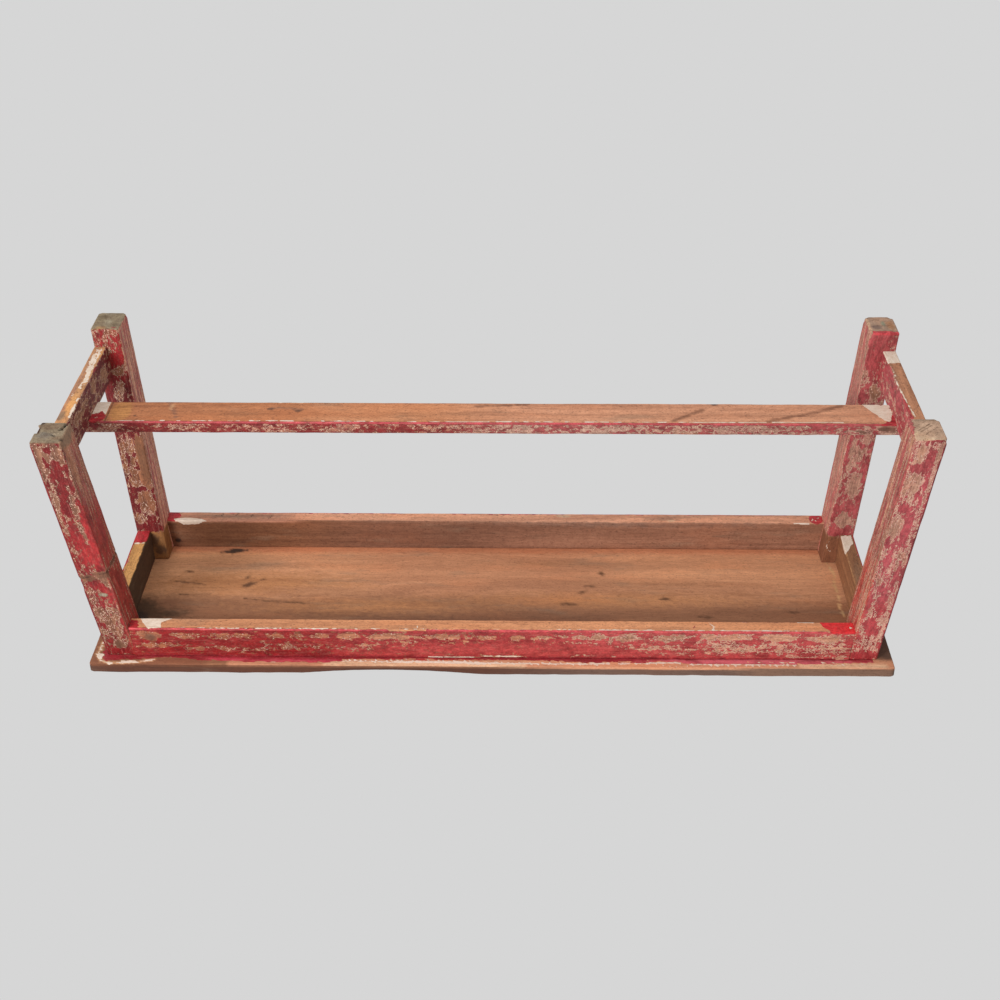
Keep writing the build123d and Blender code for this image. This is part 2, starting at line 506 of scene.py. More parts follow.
@dataclass
class Board:
    """A sawn board or bar with rounded arrises, which can taper and lean.

    Attributes:
        name: The piece's name.
        nodes: The nodes that it stands for.
        start: The four corners of its first end, in order round the section.
        end: The same corners at its other end.
        spacing: How far apart the points of its mesh are.
        arris: How far its long arrises are rounded, all alike or one by one.
        end_arris: How far the arrises of its ends are rounded.
        wear: How unevenly its arrises are worn, from 0 to 1.
        warp: How far its faces are out of flat.
        rub: How much paint is worn off along the arrises, from 0 to 1.
        seed: Which grain and wear it has.
        look: Its coats, marks and dents.
    """

    name: str
    nodes: tuple[str, ...]
    start: tuple[Point, Point, Point, Point]
    end: tuple[Point, Point, Point, Point]
    spacing: float = 2.0
    arris: float | tuple[float, float, float, float] = 1.8
    end_arris: float = 1.4
    wear: float = 0.5
    warp: float = 0.25
    rub: float = 0.35
    seed: int = 1
    look: Look = field(default_factory=Look)

    # The cells of its noise along, across a and across b, and how far apart seeds lie
    WARP_CELL = (140.0, 45.0, 45.0)
    FINE_CELL = (16.0, 5.0, 5.0)
    FINE_DEPTH = 0.16
    RUB_CELL = (14.0, 9.0, 9.0)
    APART = np.array([0.731, 0.417, 0.293])

    def size(self) -> Point:
        """Give the length and the two widths, in millimetres.

        Returns:
            The three sizes.
        """
        start, end = np.array(self.start), np.array(self.end)
        length = np.linalg.norm(end.mean(axis=0) - start.mean(axis=0))
        width_a = (np.linalg.norm(start[1] - start[0]) + np.linalg.norm(end[1] - end[0])) / 2
        width_b = (np.linalg.norm(start[3] - start[0]) + np.linalg.norm(end[3] - end[0])) / 2
        return float(length), float(width_a), float(width_b)

    def stations(self) -> tuple[np.ndarray, np.ndarray]:
        """Lay out the rings of the mesh, from the middle of one end to that of the other.

        Returns:
            The distance along and the inset of each ring, in millimetres.
        """
        length, width_a, width_b = self.size()
        radius = self.end_arris
        middle = min(width_a, width_b) / 2 - 0.02
        rings = max(3, round((middle - radius) / self.spacing))
        insets = np.linspace(middle, radius, rings, endpoint=False)
        angles = np.radians(np.linspace(90, 0, 5))
        steps = max(8, round((length - 2 * radius) / self.spacing))
        body = np.linspace(radius, length - radius, steps + 1)[1:-1]
        head = np.concatenate([np.zeros(rings), radius * (1 - np.sin(angles))])
        head_inset = np.concatenate([insets, radius * (1 - np.cos(angles))])
        along = np.concatenate([head, body, (length - head)[::-1]])
        inset = np.concatenate([head_inset, np.zeros(len(body)), head_inset[::-1]])
        return along, inset

    def skin(self) -> Skin:
        """Make the board's closed skin, with its arrises unevenly worn.

        Returns:
            The skin, with no coat yet.
        """
        _, width_a, width_b = self.size()
        along, inset = self.stations()
        quarter = np.radians(np.linspace(0, 90, 5))
        flats = [max(3, round(width / self.spacing)) for width in (width_a, width_b)]
        arris = np.broadcast_to(self.arris, 4)
        arcs_a = []
        arcs_b = []
        for corner, (sign_a, sign_b) in enumerate(((-1, -1), (1, -1), (1, 1), (-1, 1))):
            cells = np.stack([along / 38, np.full(len(along), 7.3 * corner), inset * 0], axis=1)
            uneven = 1 + self.wear * layered_noise(cells, self.seed + corner, 4)
            radius = np.maximum(arris[corner] * np.clip(uneven, 0.3, 2.2) - inset, 0.02)
            centre_a = inset + radius if sign_a < 0 else width_a - inset - radius
            centre_b = inset + radius if sign_b < 0 else width_b - inset - radius
            angle = quarter + math.radians(180 + 90 * corner)
            arcs_a.append(centre_a[:, None] + radius[:, None] * np.cos(angle))
            arcs_b.append(centre_b[:, None] + radius[:, None] * np.sin(angle))
        columns_a = []
        columns_b = []
        for corner in range(4):
            share = np.linspace(0, 1, flats[corner % 2] + 1)[1:-1]
            for arcs, columns in ((arcs_a, columns_a), (arcs_b, columns_b)):
                following = arcs[(corner + 1) % 4]
                columns += [arcs[corner], lerp(arcs[corner][:, -1:], following[:, :1], share)]
        a = np.concatenate(columns_a, axis=1)
        b = np.concatenate(columns_b, axis=1)
        place = np.stack([np.broadcast_to(along[:, None], a.shape), a, b], axis=2).reshape(-1, 3)
        count = a.shape[1]
        faces = [tuple(range(count)), tuple(range((len(along) - 1) * count, len(along) * count))]
        faces[0] = faces[0][::-1]
        for ring in range(len(along) - 1):
            low = ring * count
            faces += [
                (low + i, low + (i + 1) % count, low + count + (i + 1) % count, low + count + i)
                for i in range(count)
            ]
        points = self.to_bench(place)
        return Skin(points, place, self.size(), faces)

    def to_bench(self, place: np.ndarray) -> np.ndarray:
        """Turn places in the board into places in the bench.

        Args:
            place: Distances along, across a and across b, in millimetres.

        Returns:
            The places in the bench, in millimetres.
        """
        length, width_a, width_b = self.size()
        t = (place[:, 0] / length)[:, None, None]
        corners = np.array(self.start) * (1 - t) + np.array(self.end) * t
        a = (place[:, 1] / width_a)[:, None]
        b = (place[:, 2] / width_b)[:, None]
        low = corners[:, 0] * (1 - a) + corners[:, 1] * a
        high = corners[:, 3] * (1 - a) + corners[:, 2] * a
        return low * (1 - b) + high * b

    def coat(self, skin: Skin) -> None:
        """Lay the coats of the sides, the worn arrises and the marks on a skin.

        Args:
            skin: The board's skin, which gets its shade.
        """
        count = len(skin.points)
        base = self.look.coats[0][1]
        for name in ("paint", "primer", "streak"):
            skin.shade[name] = np.full(count, float(getattr(base, name) or 0.0))
        for name in ("red", "wood"):
            skin.shade[name] = np.tile(np.array(srgb(*getattr(base, name))), (count, 1))
        for index, (face, coat) in enumerate(self.look.coats[1:]):
            along, across, depth = skin.on_face(face)
            cells = np.stack([along / 9, across / 9, depth / 9], axis=1)
            wander = 0.9 * layered_noise(cells, self.seed + 31 * index, 3)
            skin.lay(coat, smooth(1.6, 0.6, depth + wander))
        self.wear_arrises(skin)
        skin.shade["place"] = skin.place * MM + self.APART * self.seed
        for index, mark in enumerate(self.look.marks):
            skin.lay(mark.coat, mark.weight(skin, self.seed * 101 + index))

    def wear_arrises(self, skin: Skin) -> None:
        """Thin the paint along the arrises, more in some places than in others.

        Args:
            skin: The board's skin.
        """
        _, a, b = skin.place.T
        _, width_a, width_b = skin.size
        to_arris = np.hypot(np.minimum(a, width_a - a), np.minimum(b, width_b - b))
        uneven = 0.5 + 0.8 * layered_noise(skin.place / self.RUB_CELL, self.seed + 400, 3)
        worn = self.rub * np.clip(uneven, 0, 1) * smooth(5.0, 0.5, to_arris)
        skin.shade["paint"] *= 1 - worn

    def shape(self, skin: Skin, normals: np.ndarray) -> None:
        """Move the points in and out: warp, dents and the finer unevenness.

        Args:
            skin: The board's skin.
            normals: The outward direction at each point.
        """
        out = self.warp * layered_noise(skin.place / self.WARP_CELL, self.seed + 500, 2)
        out += self.FINE_DEPTH * layered_noise(skin.place / self.FINE_CELL, self.seed + 600, 3)
        for index, dent in enumerate(self.look.dents):
            out -= dent.depth * dent.mark.weight(skin, self.seed * 211 + index)
        skin.points = skin.points + normals * out[:, None]
        np.clip(skin.points[:, 2], 0.0, FRAME.seat_top, out=skin.points[:, 2])

    def build(self, material: bpy.types.Material, slot: str) -> bpy.types.Object:
        """Make the finished piece, with its coat in the mesh's own attributes.

        Args:
            material: Its material.
            slot: The name of that material's slot; it is not used.

        Returns:
            The new object, which rides on the bench and stands for its nodes.
        """
        skin = self.skin()
        if signed_volume(skin.points, skin.faces) < 0:
            skin.faces = [face[::-1] for face in skin.faces]
        self.coat(skin)
        mesh = bpy.data.meshes.new(self.name)
        mesh.from_pydata(skin.points.tolist(), [], skin.faces)
        normals = np.empty(len(skin.points) * 3, dtype=np.float32)
        mesh.vertex_normals.foreach_get("vector", normals)
        self.shape(skin, normals.reshape(-1, 3))
        mesh.vertices.foreach_set("co", (skin.points * MM).astype(np.float32).ravel())
        write_shade(mesh, skin.shade)
        mesh.materials.append(material)
        return enter(self.name, mesh, self.nodes)


def write_shade(mesh: bpy.types.Mesh, shade: dict[str, np.ndarray]) -> None:
    """Store the coat and the place of every point in a mesh's own attributes.

    Args:
        mesh: The mesh.
        shade: The values at each point, by the name of the attribute.
    """
    for name, values in shade.items():
        kind, part = ("FLOAT", "value") if values.ndim == 1 else ("FLOAT_COLOR", "color")
        if name == "place":
            kind, part = ("FLOAT_VECTOR", "vector")
        elif values.ndim > 1:
            values = np.concatenate([values, np.ones((len(values), 1))], axis=1)
        attribute = mesh.attributes.new(name, kind, "POINT")
        attribute.data.foreach_set(part, values.astype(np.float32).ravel())


def lerp(first: np.ndarray, last: np.ndarray, share: np.ndarray) -> np.ndarray:
    """Give columns between a first and a last column."""
    return first * (1 - share) + last * share


def signed_volume(points: np.ndarray, faces: Sequence[tuple[int, ...]]) -> float:
    """Measure a closed skin's volume, which is below 0 if its faces point inwards.

    Args:
        points: The points.
        faces: The faces; those with more than four corners are left out.

    Returns:
        The volume, roughly.
    """
    quads = np.array([face for face in faces if len(face) == 4])
    centre = points.mean(axis=0)
    first, second, third, fourth = (points[quads[:, i]] - centre for i in range(4))
    whole = np.cross(third - first, fourth - second)
    return float((whole * (first + second + third + fourth)).sum() / 24)


class Signal:
    """A value on its way through a shader, which can be used in sums."""

    def __init__(self, weave: "Weave", socket: bpy.types.NodeSocket) -> None:
        """Keep the shader and the socket that the value comes from."""
        self.weave = weave
        self.socket = socket

    def __add__(self, other: "Signal | float") -> "Signal":
        """Add a value."""
        return self.weave.sum("ADD", self, other)

    def __radd__(self, other: float) -> "Signal":
        """Add this to a number."""
        return self.weave.sum("ADD", other, self)

    def __sub__(self, other: "Signal | float") -> "Signal":
        """Take a value away."""
        return self.weave.sum("SUBTRACT", self, other)

    def __rsub__(self, other: float) -> "Signal":
        """Take this away from a number."""
        return self.weave.sum("SUBTRACT", other, self)

    def __mul__(self, other: "Signal | float") -> "Signal":
        """Multiply by a value."""
        return self.weave.sum("MULTIPLY", self, other)

    def __rmul__(self, other: float) -> "Signal":
        """Multiply a number by this."""
        return self.weave.sum("MULTIPLY", other, self)

    def ease(self, low: float, high: float) -> "Signal":
        """Ease from 0 at low to 1 at high.

        Args:
            low: The value where the ease starts.
            high: The value where it ends.

        Returns:
            The eased value.
        """
        settings = {"interpolation_type": "SMOOTHSTEP"}
        inputs = {"Value": self, "From Min": low, "From Max": high}
        return self.weave.add("ShaderNodeMapRange", settings, inputs, "Result")


class Weave:
    """The nodes of a material or of the world, which are added one by one."""

    def __init__(self, owner: bpy.types.Material | bpy.types.World) -> None:
        """Start with nothing in a new material or world.

        Args:
            owner: The material or world.
        """
        self.owner = owner
        owner.use_nodes = True
        self.tree = owner.node_tree
        self.tree.nodes.clear()

    def add(
        self, kind: str, settings: dict[str, object] | None = None,
        inputs: dict[str | int, object] | None = None, output: str | int = 0,
    ) -> Signal:
        """Add a node.

        Args:
            kind: The node's type.
            settings: Its own settings, which are set first.
            inputs: Values or signals for its sockets, by name or number.
            output: The socket whose value comes back.

        Returns:
            The value of that output.
        """
        node = self.tree.nodes.new(kind)
        for name, value in (settings or {}).items():
            setattr(node, name, value)
        for name, value in (inputs or {}).items():
            self.feed(node.inputs[name], value)
        if not node.outputs:
            return Signal(self, node.inputs[0])
        return Signal(self, node.outputs[output])

    def feed(self, socket: bpy.types.NodeSocket, value: object) -> None:
        """Give a socket a value or a link.

        Args:
            socket: The socket.
            value: A signal, a number or a tuple.
        """
        if isinstance(value, Signal):
            self.tree.links.new(value.socket, socket)
        elif isinstance(value, tuple) and len(value) == 3 and socket.type == "RGBA":
            socket.default_value = (*value, 1.0)
        else:
            socket.default_value = value

    def sum(self, operation: str, first: Signal | float, second: Signal | float) -> Signal:
        """Add a Math node with two values."""
        return self.add("ShaderNodeMath", {"operation": operation}, {0: first, 1: second})

    def mix(self, share: Signal | float, first: object, second: object, blend: str = "MIX") -> Signal:
        """Mix two colours.

        Args:
            share: How much of the second to use, from 0 to 1.
            first: A colour or a signal.
            second: A colour or a signal.
            blend: How the two are put together.

        Returns:
            The mixed colour.
        """
        settings = {"data_type": "RGBA", "blend_type": blend, "clamp_result": False}
        inputs = {0: share, 6: first, 7: second}
        return self.add("ShaderNodeMix", settings, inputs, 2)

    def attribute(self, name: str, output: str) -> Signal:
        """Read one of the mesh's own attributes."""
        return self.add("ShaderNodeAttribute", {"attribute_name": name}, {}, output)

    def scaled(self, vector: Signal, scale: Point) -> Signal:
        """Scale a place along its three axes."""
        return self.add("ShaderNodeVectorMath", {"operation": "MULTIPLY"}, {0: vector, 1: scale})

    def noise(self, vector: Signal, scale: Point, detail: float = 2.0, twist: float = 0.0) -> Signal:
        """Add a noise pattern.

        Args:
            vector: The place that it is read at.
            scale: Its repeats for each metre along the board, across a and across b.
            detail: How many finer layers it has.
            twist: How far it is distorted.

        Returns:
            A value about 0.5.
        """
        inputs = {"Vector": self.scaled(vector, scale), "Scale": 1.0}
        inputs |= {"Detail": detail, "Roughness": 0.55, "Distortion": twist}
        return self.add("ShaderNodeTexNoise", {}, inputs, "Fac")

    def surface(
        self, strength: float, distance: float, height: Signal, inputs: dict[str, object]
    ) -> bpy.types.Material:
        """Add the shader and the output, after which the material is whole.

        Args:
            strength: How strong its bumps are, from 0 to 1.
            distance: How high they are, in metres.
            height: Where they rise, from 0 to 1.
            inputs: What else the shader takes.

        Returns:
            The material.
        """
        bumps = {"Strength": strength, "Distance": distance, "Height": height}
        normal = self.add("ShaderNodeBump", {}, bumps, "Normal")
        shader = self.add("ShaderNodeBsdfPrincipled", {}, {**inputs, "Normal": normal}, "BSDF")
        self.add("ShaderNodeOutputMaterial", {}, {"Surface": shader})
        return self.owner


@dataclass(frozen=True)
class WornPaint:
    """Old wood under primer and red paint that has flaked and rubbed away.

    Attributes:
        name: The material's name.
        rings: Repeats of the broad grain for each metre, along and across.
        fibre: Repeats of the fine grain for each metre, along and across.
        sway: How far the grain wanders across the board, in metres.
        island: Repeats of the flaked islands for each metre, along and across.
        flake: Repeats of the flakes at their edges.
        crumb: Repeats of the single crumbs of paint.
        streak: Repeats of the streaks where paint rubbed off lengthwise.
        contrast: How strong the grain is, from 0 to 1.
        mottle: How strong the spots are, from 0 to 1.
        grime: How dark the specks of dirt are, from 0 to 1.
        primer: The colour of thick primer.
        tallow: The colour of its darker spots.
        edge: The colour of the thin primer at the edges of the paint.
        dust: The colour of the grey that sits in bare wood.
        soil: The colour of the dirt.
    """

    name: str = "worn_red_paint"
    rings: Spot = (2.2, 75.0)
    fibre: Spot = (22.0, 760.0)
    sway: float = 0.012
    island: Spot = (30.0, 60.0)
    flake: Spot = (105.0, 190.0)
    crumb: Spot = (330.0, 520.0)
    streak: Spot = (11.0, 210.0)
    contrast: float = 0.6
    mottle: float = 0.7
    grime: float = 0.5
    primer: Colour = srgb(232, 214, 196)
    tallow: Colour = srgb(196, 166, 138)
    edge: Colour = srgb(224, 188, 164)
    dust: Colour = srgb(140, 120, 100)
    soil: Colour = srgb(70, 40, 32)

    def build(self) -> bpy.types.Material:
        """Make the material."""
        return PaintNodes(self).build()


class PaintNodes(Weave):
    """The nodes of old paint over old wood.

    The coat of a place comes from the mesh's attributes. These add everything finer.
    """

    def __init__(self, finish: WornPaint) -> None:
        """Start the material, and find what several of its parts share.

        Args:
            finish: The values that set it apart.
        """
        super().__init__(bpy.data.materials.new(finish.name))
        self.finish = finish
        self.place = self.attribute("place", "Vector")
        self.crumb = self.pattern(finish.crumb, 2.0)
        self.flake = self.pattern(finish.flake, 3.0, 0.5)
        self.grain = self.rings_and_fibres()
        self.cover = self.held_paint()

    def build(self) -> bpy.types.Material:
        """Put wood, primer and paint together.

        Returns:
            The material.
        """
        rough_wood = self.cover.ease(-0.7, 0.1)
        painted = self.cover.ease(0.47, 0.53)
        red = self.red()
        spots = self.spots()
        share = (spots - 0.5) * (rough_wood * 0.6 + 0.4)
        red = self.mottled(share, red)
        wood = self.wood((self.grain - 0.5) * (rough_wood * 0.4 + 0.6))
        wood = self.mottled(share, wood)
        wood = self.mix(self.haze(), wood, red)
        wood = self.mix(self.specks(), wood, self.finish.soil)
        rim = self.rim()
        primed = self.primed()
        colour = self.mix(rim, wood, self.finish.edge)
        primer = self.mix((1 - spots) * 0.45, self.finish.primer, self.finish.tallow)
        colour = self.mix(primed, colour, primer)
        colour = self.mix(painted, colour, red)
        rough = 0.76 - painted * 0.22 + self.grain * 0.1
        height = painted * 0.6 + primed * 0.3 + self.grain * 0.25 + self.flake * 0.3 + self.crumb * 0.35
        inputs = {"Base Color": colour, "Roughness": rough, "Specular IOR Level": 0.35}
        return self.surface(0.8, 0.0009, height, inputs)

    def pattern(self, scale: Spot, detail: float, twist: float = 0.0) -> Signal:
        """Add noise whose repeats across the board are the same both ways."""
        return self.noise(self.place, (scale[0], scale[1], scale[1]), detail, twist)

    def rings_and_fibres(self) -> Signal:
        """Mix swaying rings and fine fibres.

        Returns:
            The grain, from 0, dark, to 1, light.
        """
        aside = self.pattern((3.1, 9.0), 2.0) * (2 * self.finish.sway) - self.finish.sway
        offset = self.add("ShaderNodeCombineXYZ", {}, {1: aside, 2: aside})
        swayed = self.add("ShaderNodeVectorMath", {"operation": "ADD"}, {0: self.place, 1: offset})
        (rings, ring), (fibres, fibre) = self.finish.rings, self.finish.fibre
        broad = self.noise(swayed, (rings, ring, ring), 4.0, 0.4).ease(0.32, 0.68)
        fine = self.noise(swayed, (fibres, fibre, fibre), 2.0).ease(0.3, 0.7)
        return broad * 0.6 + fine * 0.4

    def held_paint(self) -> Signal:
        """Find how far each place is inside the paint.

        Returns:
            A value that is above 0.5 where the paint still holds.
        """
        island = self.pattern(self.finish.island, 3.0, 0.3)
        flaked_off = (island - 0.5) * 1.3 + (self.flake - 0.5) * 1.7 + (self.crumb - 0.5) * 1.3
        rubbed_off = (self.pattern(self.finish.streak, 4.0, 0.3) - 0.5) * 2.4 + (self.crumb - 0.5) * 1.1
        streak = self.attribute("streak", "Fac")
        return flaked_off * (1 - streak) + rubbed_off * streak + self.attribute("paint", "Fac")

    def wood(self, grain: Signal) -> Signal:
        """Colour the wood by its grain, with duller and warmer parts and dark pores.

        Args:
            grain: The grain, from -0.5 to 0.5.

        Returns:
            The wood's colour.
        """
        own = self.attribute("wood", "Color")
        dark = self.mix(1.0, own, (0.52, 0.45, 0.4), "MULTIPLY")
        light = self.mix(1.0, own, (1.2, 1.18, 1.1), "MULTIPLY")
        warm = self.mix(1.0, own, (1.08, 0.9, 0.74), "MULTIPLY")
        wood = self.mix(grain * (2 * self.finish.contrast) + 0.5, dark, light)
        wood = self.mix(self.pattern((5.0, 24.0), 3.0).ease(0.5, 0.68) * 0.45, wood, warm)
        wood = self.mix(self.pattern((9.0, 40.0), 4.0).ease(0.55, 0.75) * 0.4, wood, self.finish.dust)
        pores = self.pattern((45.0, 1000.0), 1.0).ease(0.6, 0.72) * 0.45
        return self.mix(pores, wood, dark)

    def haze(self) -> Signal:
        """Find how much red is left rubbed into wood that has lost its paint."""
        rubbed = self.pattern((24.0, 70.0), 3.0).ease(0.4, 0.7)
        return self.cover.ease(0.02, 0.46) * (rubbed * 0.5 + self.flake * 0.3)

    def primed(self) -> Signal:
        """Find where thick primer shows."""
        own = self.attribute("primer", "Fac")
        return (own + (self.flake - 0.5) * 0.7 + (self.crumb - 0.5) * 0.6).ease(0.46, 0.56)

    def rim(self) -> Signal:
        """Find where thin primer shows, as a broken rim round the paint."""
        own = self.attribute("primer", "Fac")
        return self.cover.ease(0.31, 0.44) * (self.crumb + own * 0.5).ease(0.48, 0.6) * 0.85

    def spots(self) -> Signal:
        """Add small soft spots, from 0, dark, to 1, light."""
        large, small = self.pattern((90.0, 170.0), 3.0), self.pattern((280.0, 460.0), 2.0)
        return (large * 0.55 + small * 0.45).ease(0.38, 0.62)

    def mottled(self, share: Signal, colour: Signal) -> Signal:
        """Make a colour darker and lighter in spots.

        Args:
            share: Where it is darker, below 0, and lighter, above 0.
            colour: The colour.

        Returns:
            The mottled colour.
        """
        dark = self.mix(1.0, colour, (0.62, 0.56, 0.54), "MULTIPLY")
        light = self.mix(1.0, colour, (1.26, 1.28, 1.26), "MULTIPLY")
        return self.mix(share * self.finish.mottle + 0.5, dark, light)

    def specks(self) -> Signal:
        """Find where dirt sits, in fine specks that gather in places."""
        fine = self.pattern((260.0, 480.0), 3.0)
        return (fine * 0.7 + self.flake * 0.3).ease(0.52, 0.66) * self.finish.grime

    def red(self) -> Signal:
        """Colour the paint: deeper where it is thick, chalky where it is rubbed.

        Returns:
            The paint's colour.
        """
        own = self.attribute("red", "Color")
        deep = self.mix(1.0, own, (0.52, 0.3, 0.33), "MULTIPLY")
        chalk = self.mix(0.4, own, srgb(204, 144, 130))
        blotch = self.pattern((26.0, 60.0), 4.0, 0.4).ease(0.46, 0.68)
        rubbed = self.pattern((34.0, 300.0), 3.0).ease(0.5, 0.72)
        red = self.mix(blotch * 0.7, own, deep)
        red = self.mix(rubbed * 0.4, red, chalk)
        return self.mix(self.crumb.ease(0.56, 0.66) * 0.3, red, chalk)


@dataclass(frozen=True)
class RustyIron:
    """Old nail iron: nearly black, with brown rust in patches.

    Attributes:
        name: The material's name.
        iron: The colour of the iron.
        rust: The colour of the rust.
    """

    name: str = "rusty_nail_iron"
    iron: Colour = srgb(58, 50, 46)
    rust: Colour = srgb(122, 66, 38)

    def build(self) -> bpy.types.Material:
        """Make the material.

        Returns:
            The material.
        """
        weave = Weave(bpy.data.materials.new(self.name))
        place = weave.add("ShaderNodeTexCoord", {}, {}, "Object")
        patch = weave.noise(place, (420.0, 420.0, 420.0), 4.0, 0.4)
        pits = weave.noise(place, (1500.0, 1500.0, 1500.0), 3.0)
        colour = weave.mix(patch.ease(0.42, 0.62), self.iron, self.rust)
        inputs = {"Roughness": 0.55 + patch * 0.35, "Metallic": patch.ease(0.6, 0.4) * 0.7}
        return weave.surface(0.5, 0.0003, pits, {"Base Color": colour, **inputs})


@dataclass(frozen=True)
class Frame:
    """The sizes of the bench that its boards share, in millimetres."""

    seat_under: float = 404.0
    seat_top: float = 420.0
    top_x: float = 586.0
    top_y: float = 155.0
    leg_width: float = 44.0
    leg_depth: float = 58.0
    spread_x: float = 38.0
    apron_bottom: float = 351.0
    bury: float = 1.0

    def leg_x(self, height: float) -> float:
        """Give the distance of a leg's outer end face from the middle at a height."""
        return self.top_x + self.spread_x * (1 - height / self.seat_under)

    def leg_y(self, spread: float, height: float) -> float:
        """Give the distance of a leg's outer long face from the middle at a height."""
        return self.top_y + spread * (1 - height / self.seat_under)


FRAME = Frame()

# How far each foot is spread to the front or back, by its sides along X and Y
SPREADS = {(-1, -1): 27.0, (1, -1): 46.0, (-1, 1): 39.0, (1, 1): 46.0}
SIDE_X = {-1: "left", 1: "right"}
SIDE_Y = {-1: "front", 1: "back"}

# The sides of a long or cross board, from the one that is seen most
FRONT_BAR = (Face.A_LOW, Face.B_LOW, Face.A_HIGH, Face.B_HIGH)
OTHER_BAR = (Face.A_HIGH, Face.B_LOW, Face.A_LOW, Face.B_HIGH)


@dataclass(frozen=True)
class NailPlan:
    """Where the nails stand, in millimetres from the middle of the bench.

    Attributes:
        row_x: The places along each long side of the seat.
        front_y: The row over the front apron.
        back_y: The row over the back apron.
        end_x: How far out the nails over the end aprons are.
        end_y: How far to the front and back they are.
        bar_x: How far out the nails through the stretcher are.
        bar_y: Their places across it.
    """

    row_x: tuple[float, ...] = (-440.0, -146.67, 146.67, 440.0)
    front_y: float = -144.0
    back_y: float = 147.0
    end_x: float = 576.0
    end_y: float = 48.0
    bar_x: float = 606.96
    bar_y: Spot = (-4.0, 28.0)

    def seat(self) -> dict[str, list[Spot]]:
        """Give the nails in the seat, by the apron under them.

        Returns:
            The nails' places, by the side that the apron is on.
        """
        ends = {
            name: [(side * self.end_x, y) for y in (-self.end_y, self.end_y)]
            for side, name in SIDE_X.items()
        }
        rows = {"front": self.front_y, "back": self.back_y}
        return {**{name: [(x, y) for x in self.row_x] for name, y in rows.items()}, **ends}

    def seat_spots(self) -> list[Spot]:
        """Give all the nails in the seat."""
        return [spot for group in self.seat().values() for spot in group]

    def stretcher(self) -> dict[str, list[Spot]]:
        """Give the nails in the stretcher, by the rung under them."""
        return {name: [(side * self.bar_x, y) for y in self.bar_y] for side, name in SIDE_X.items()}


NAILS = NailPlan()


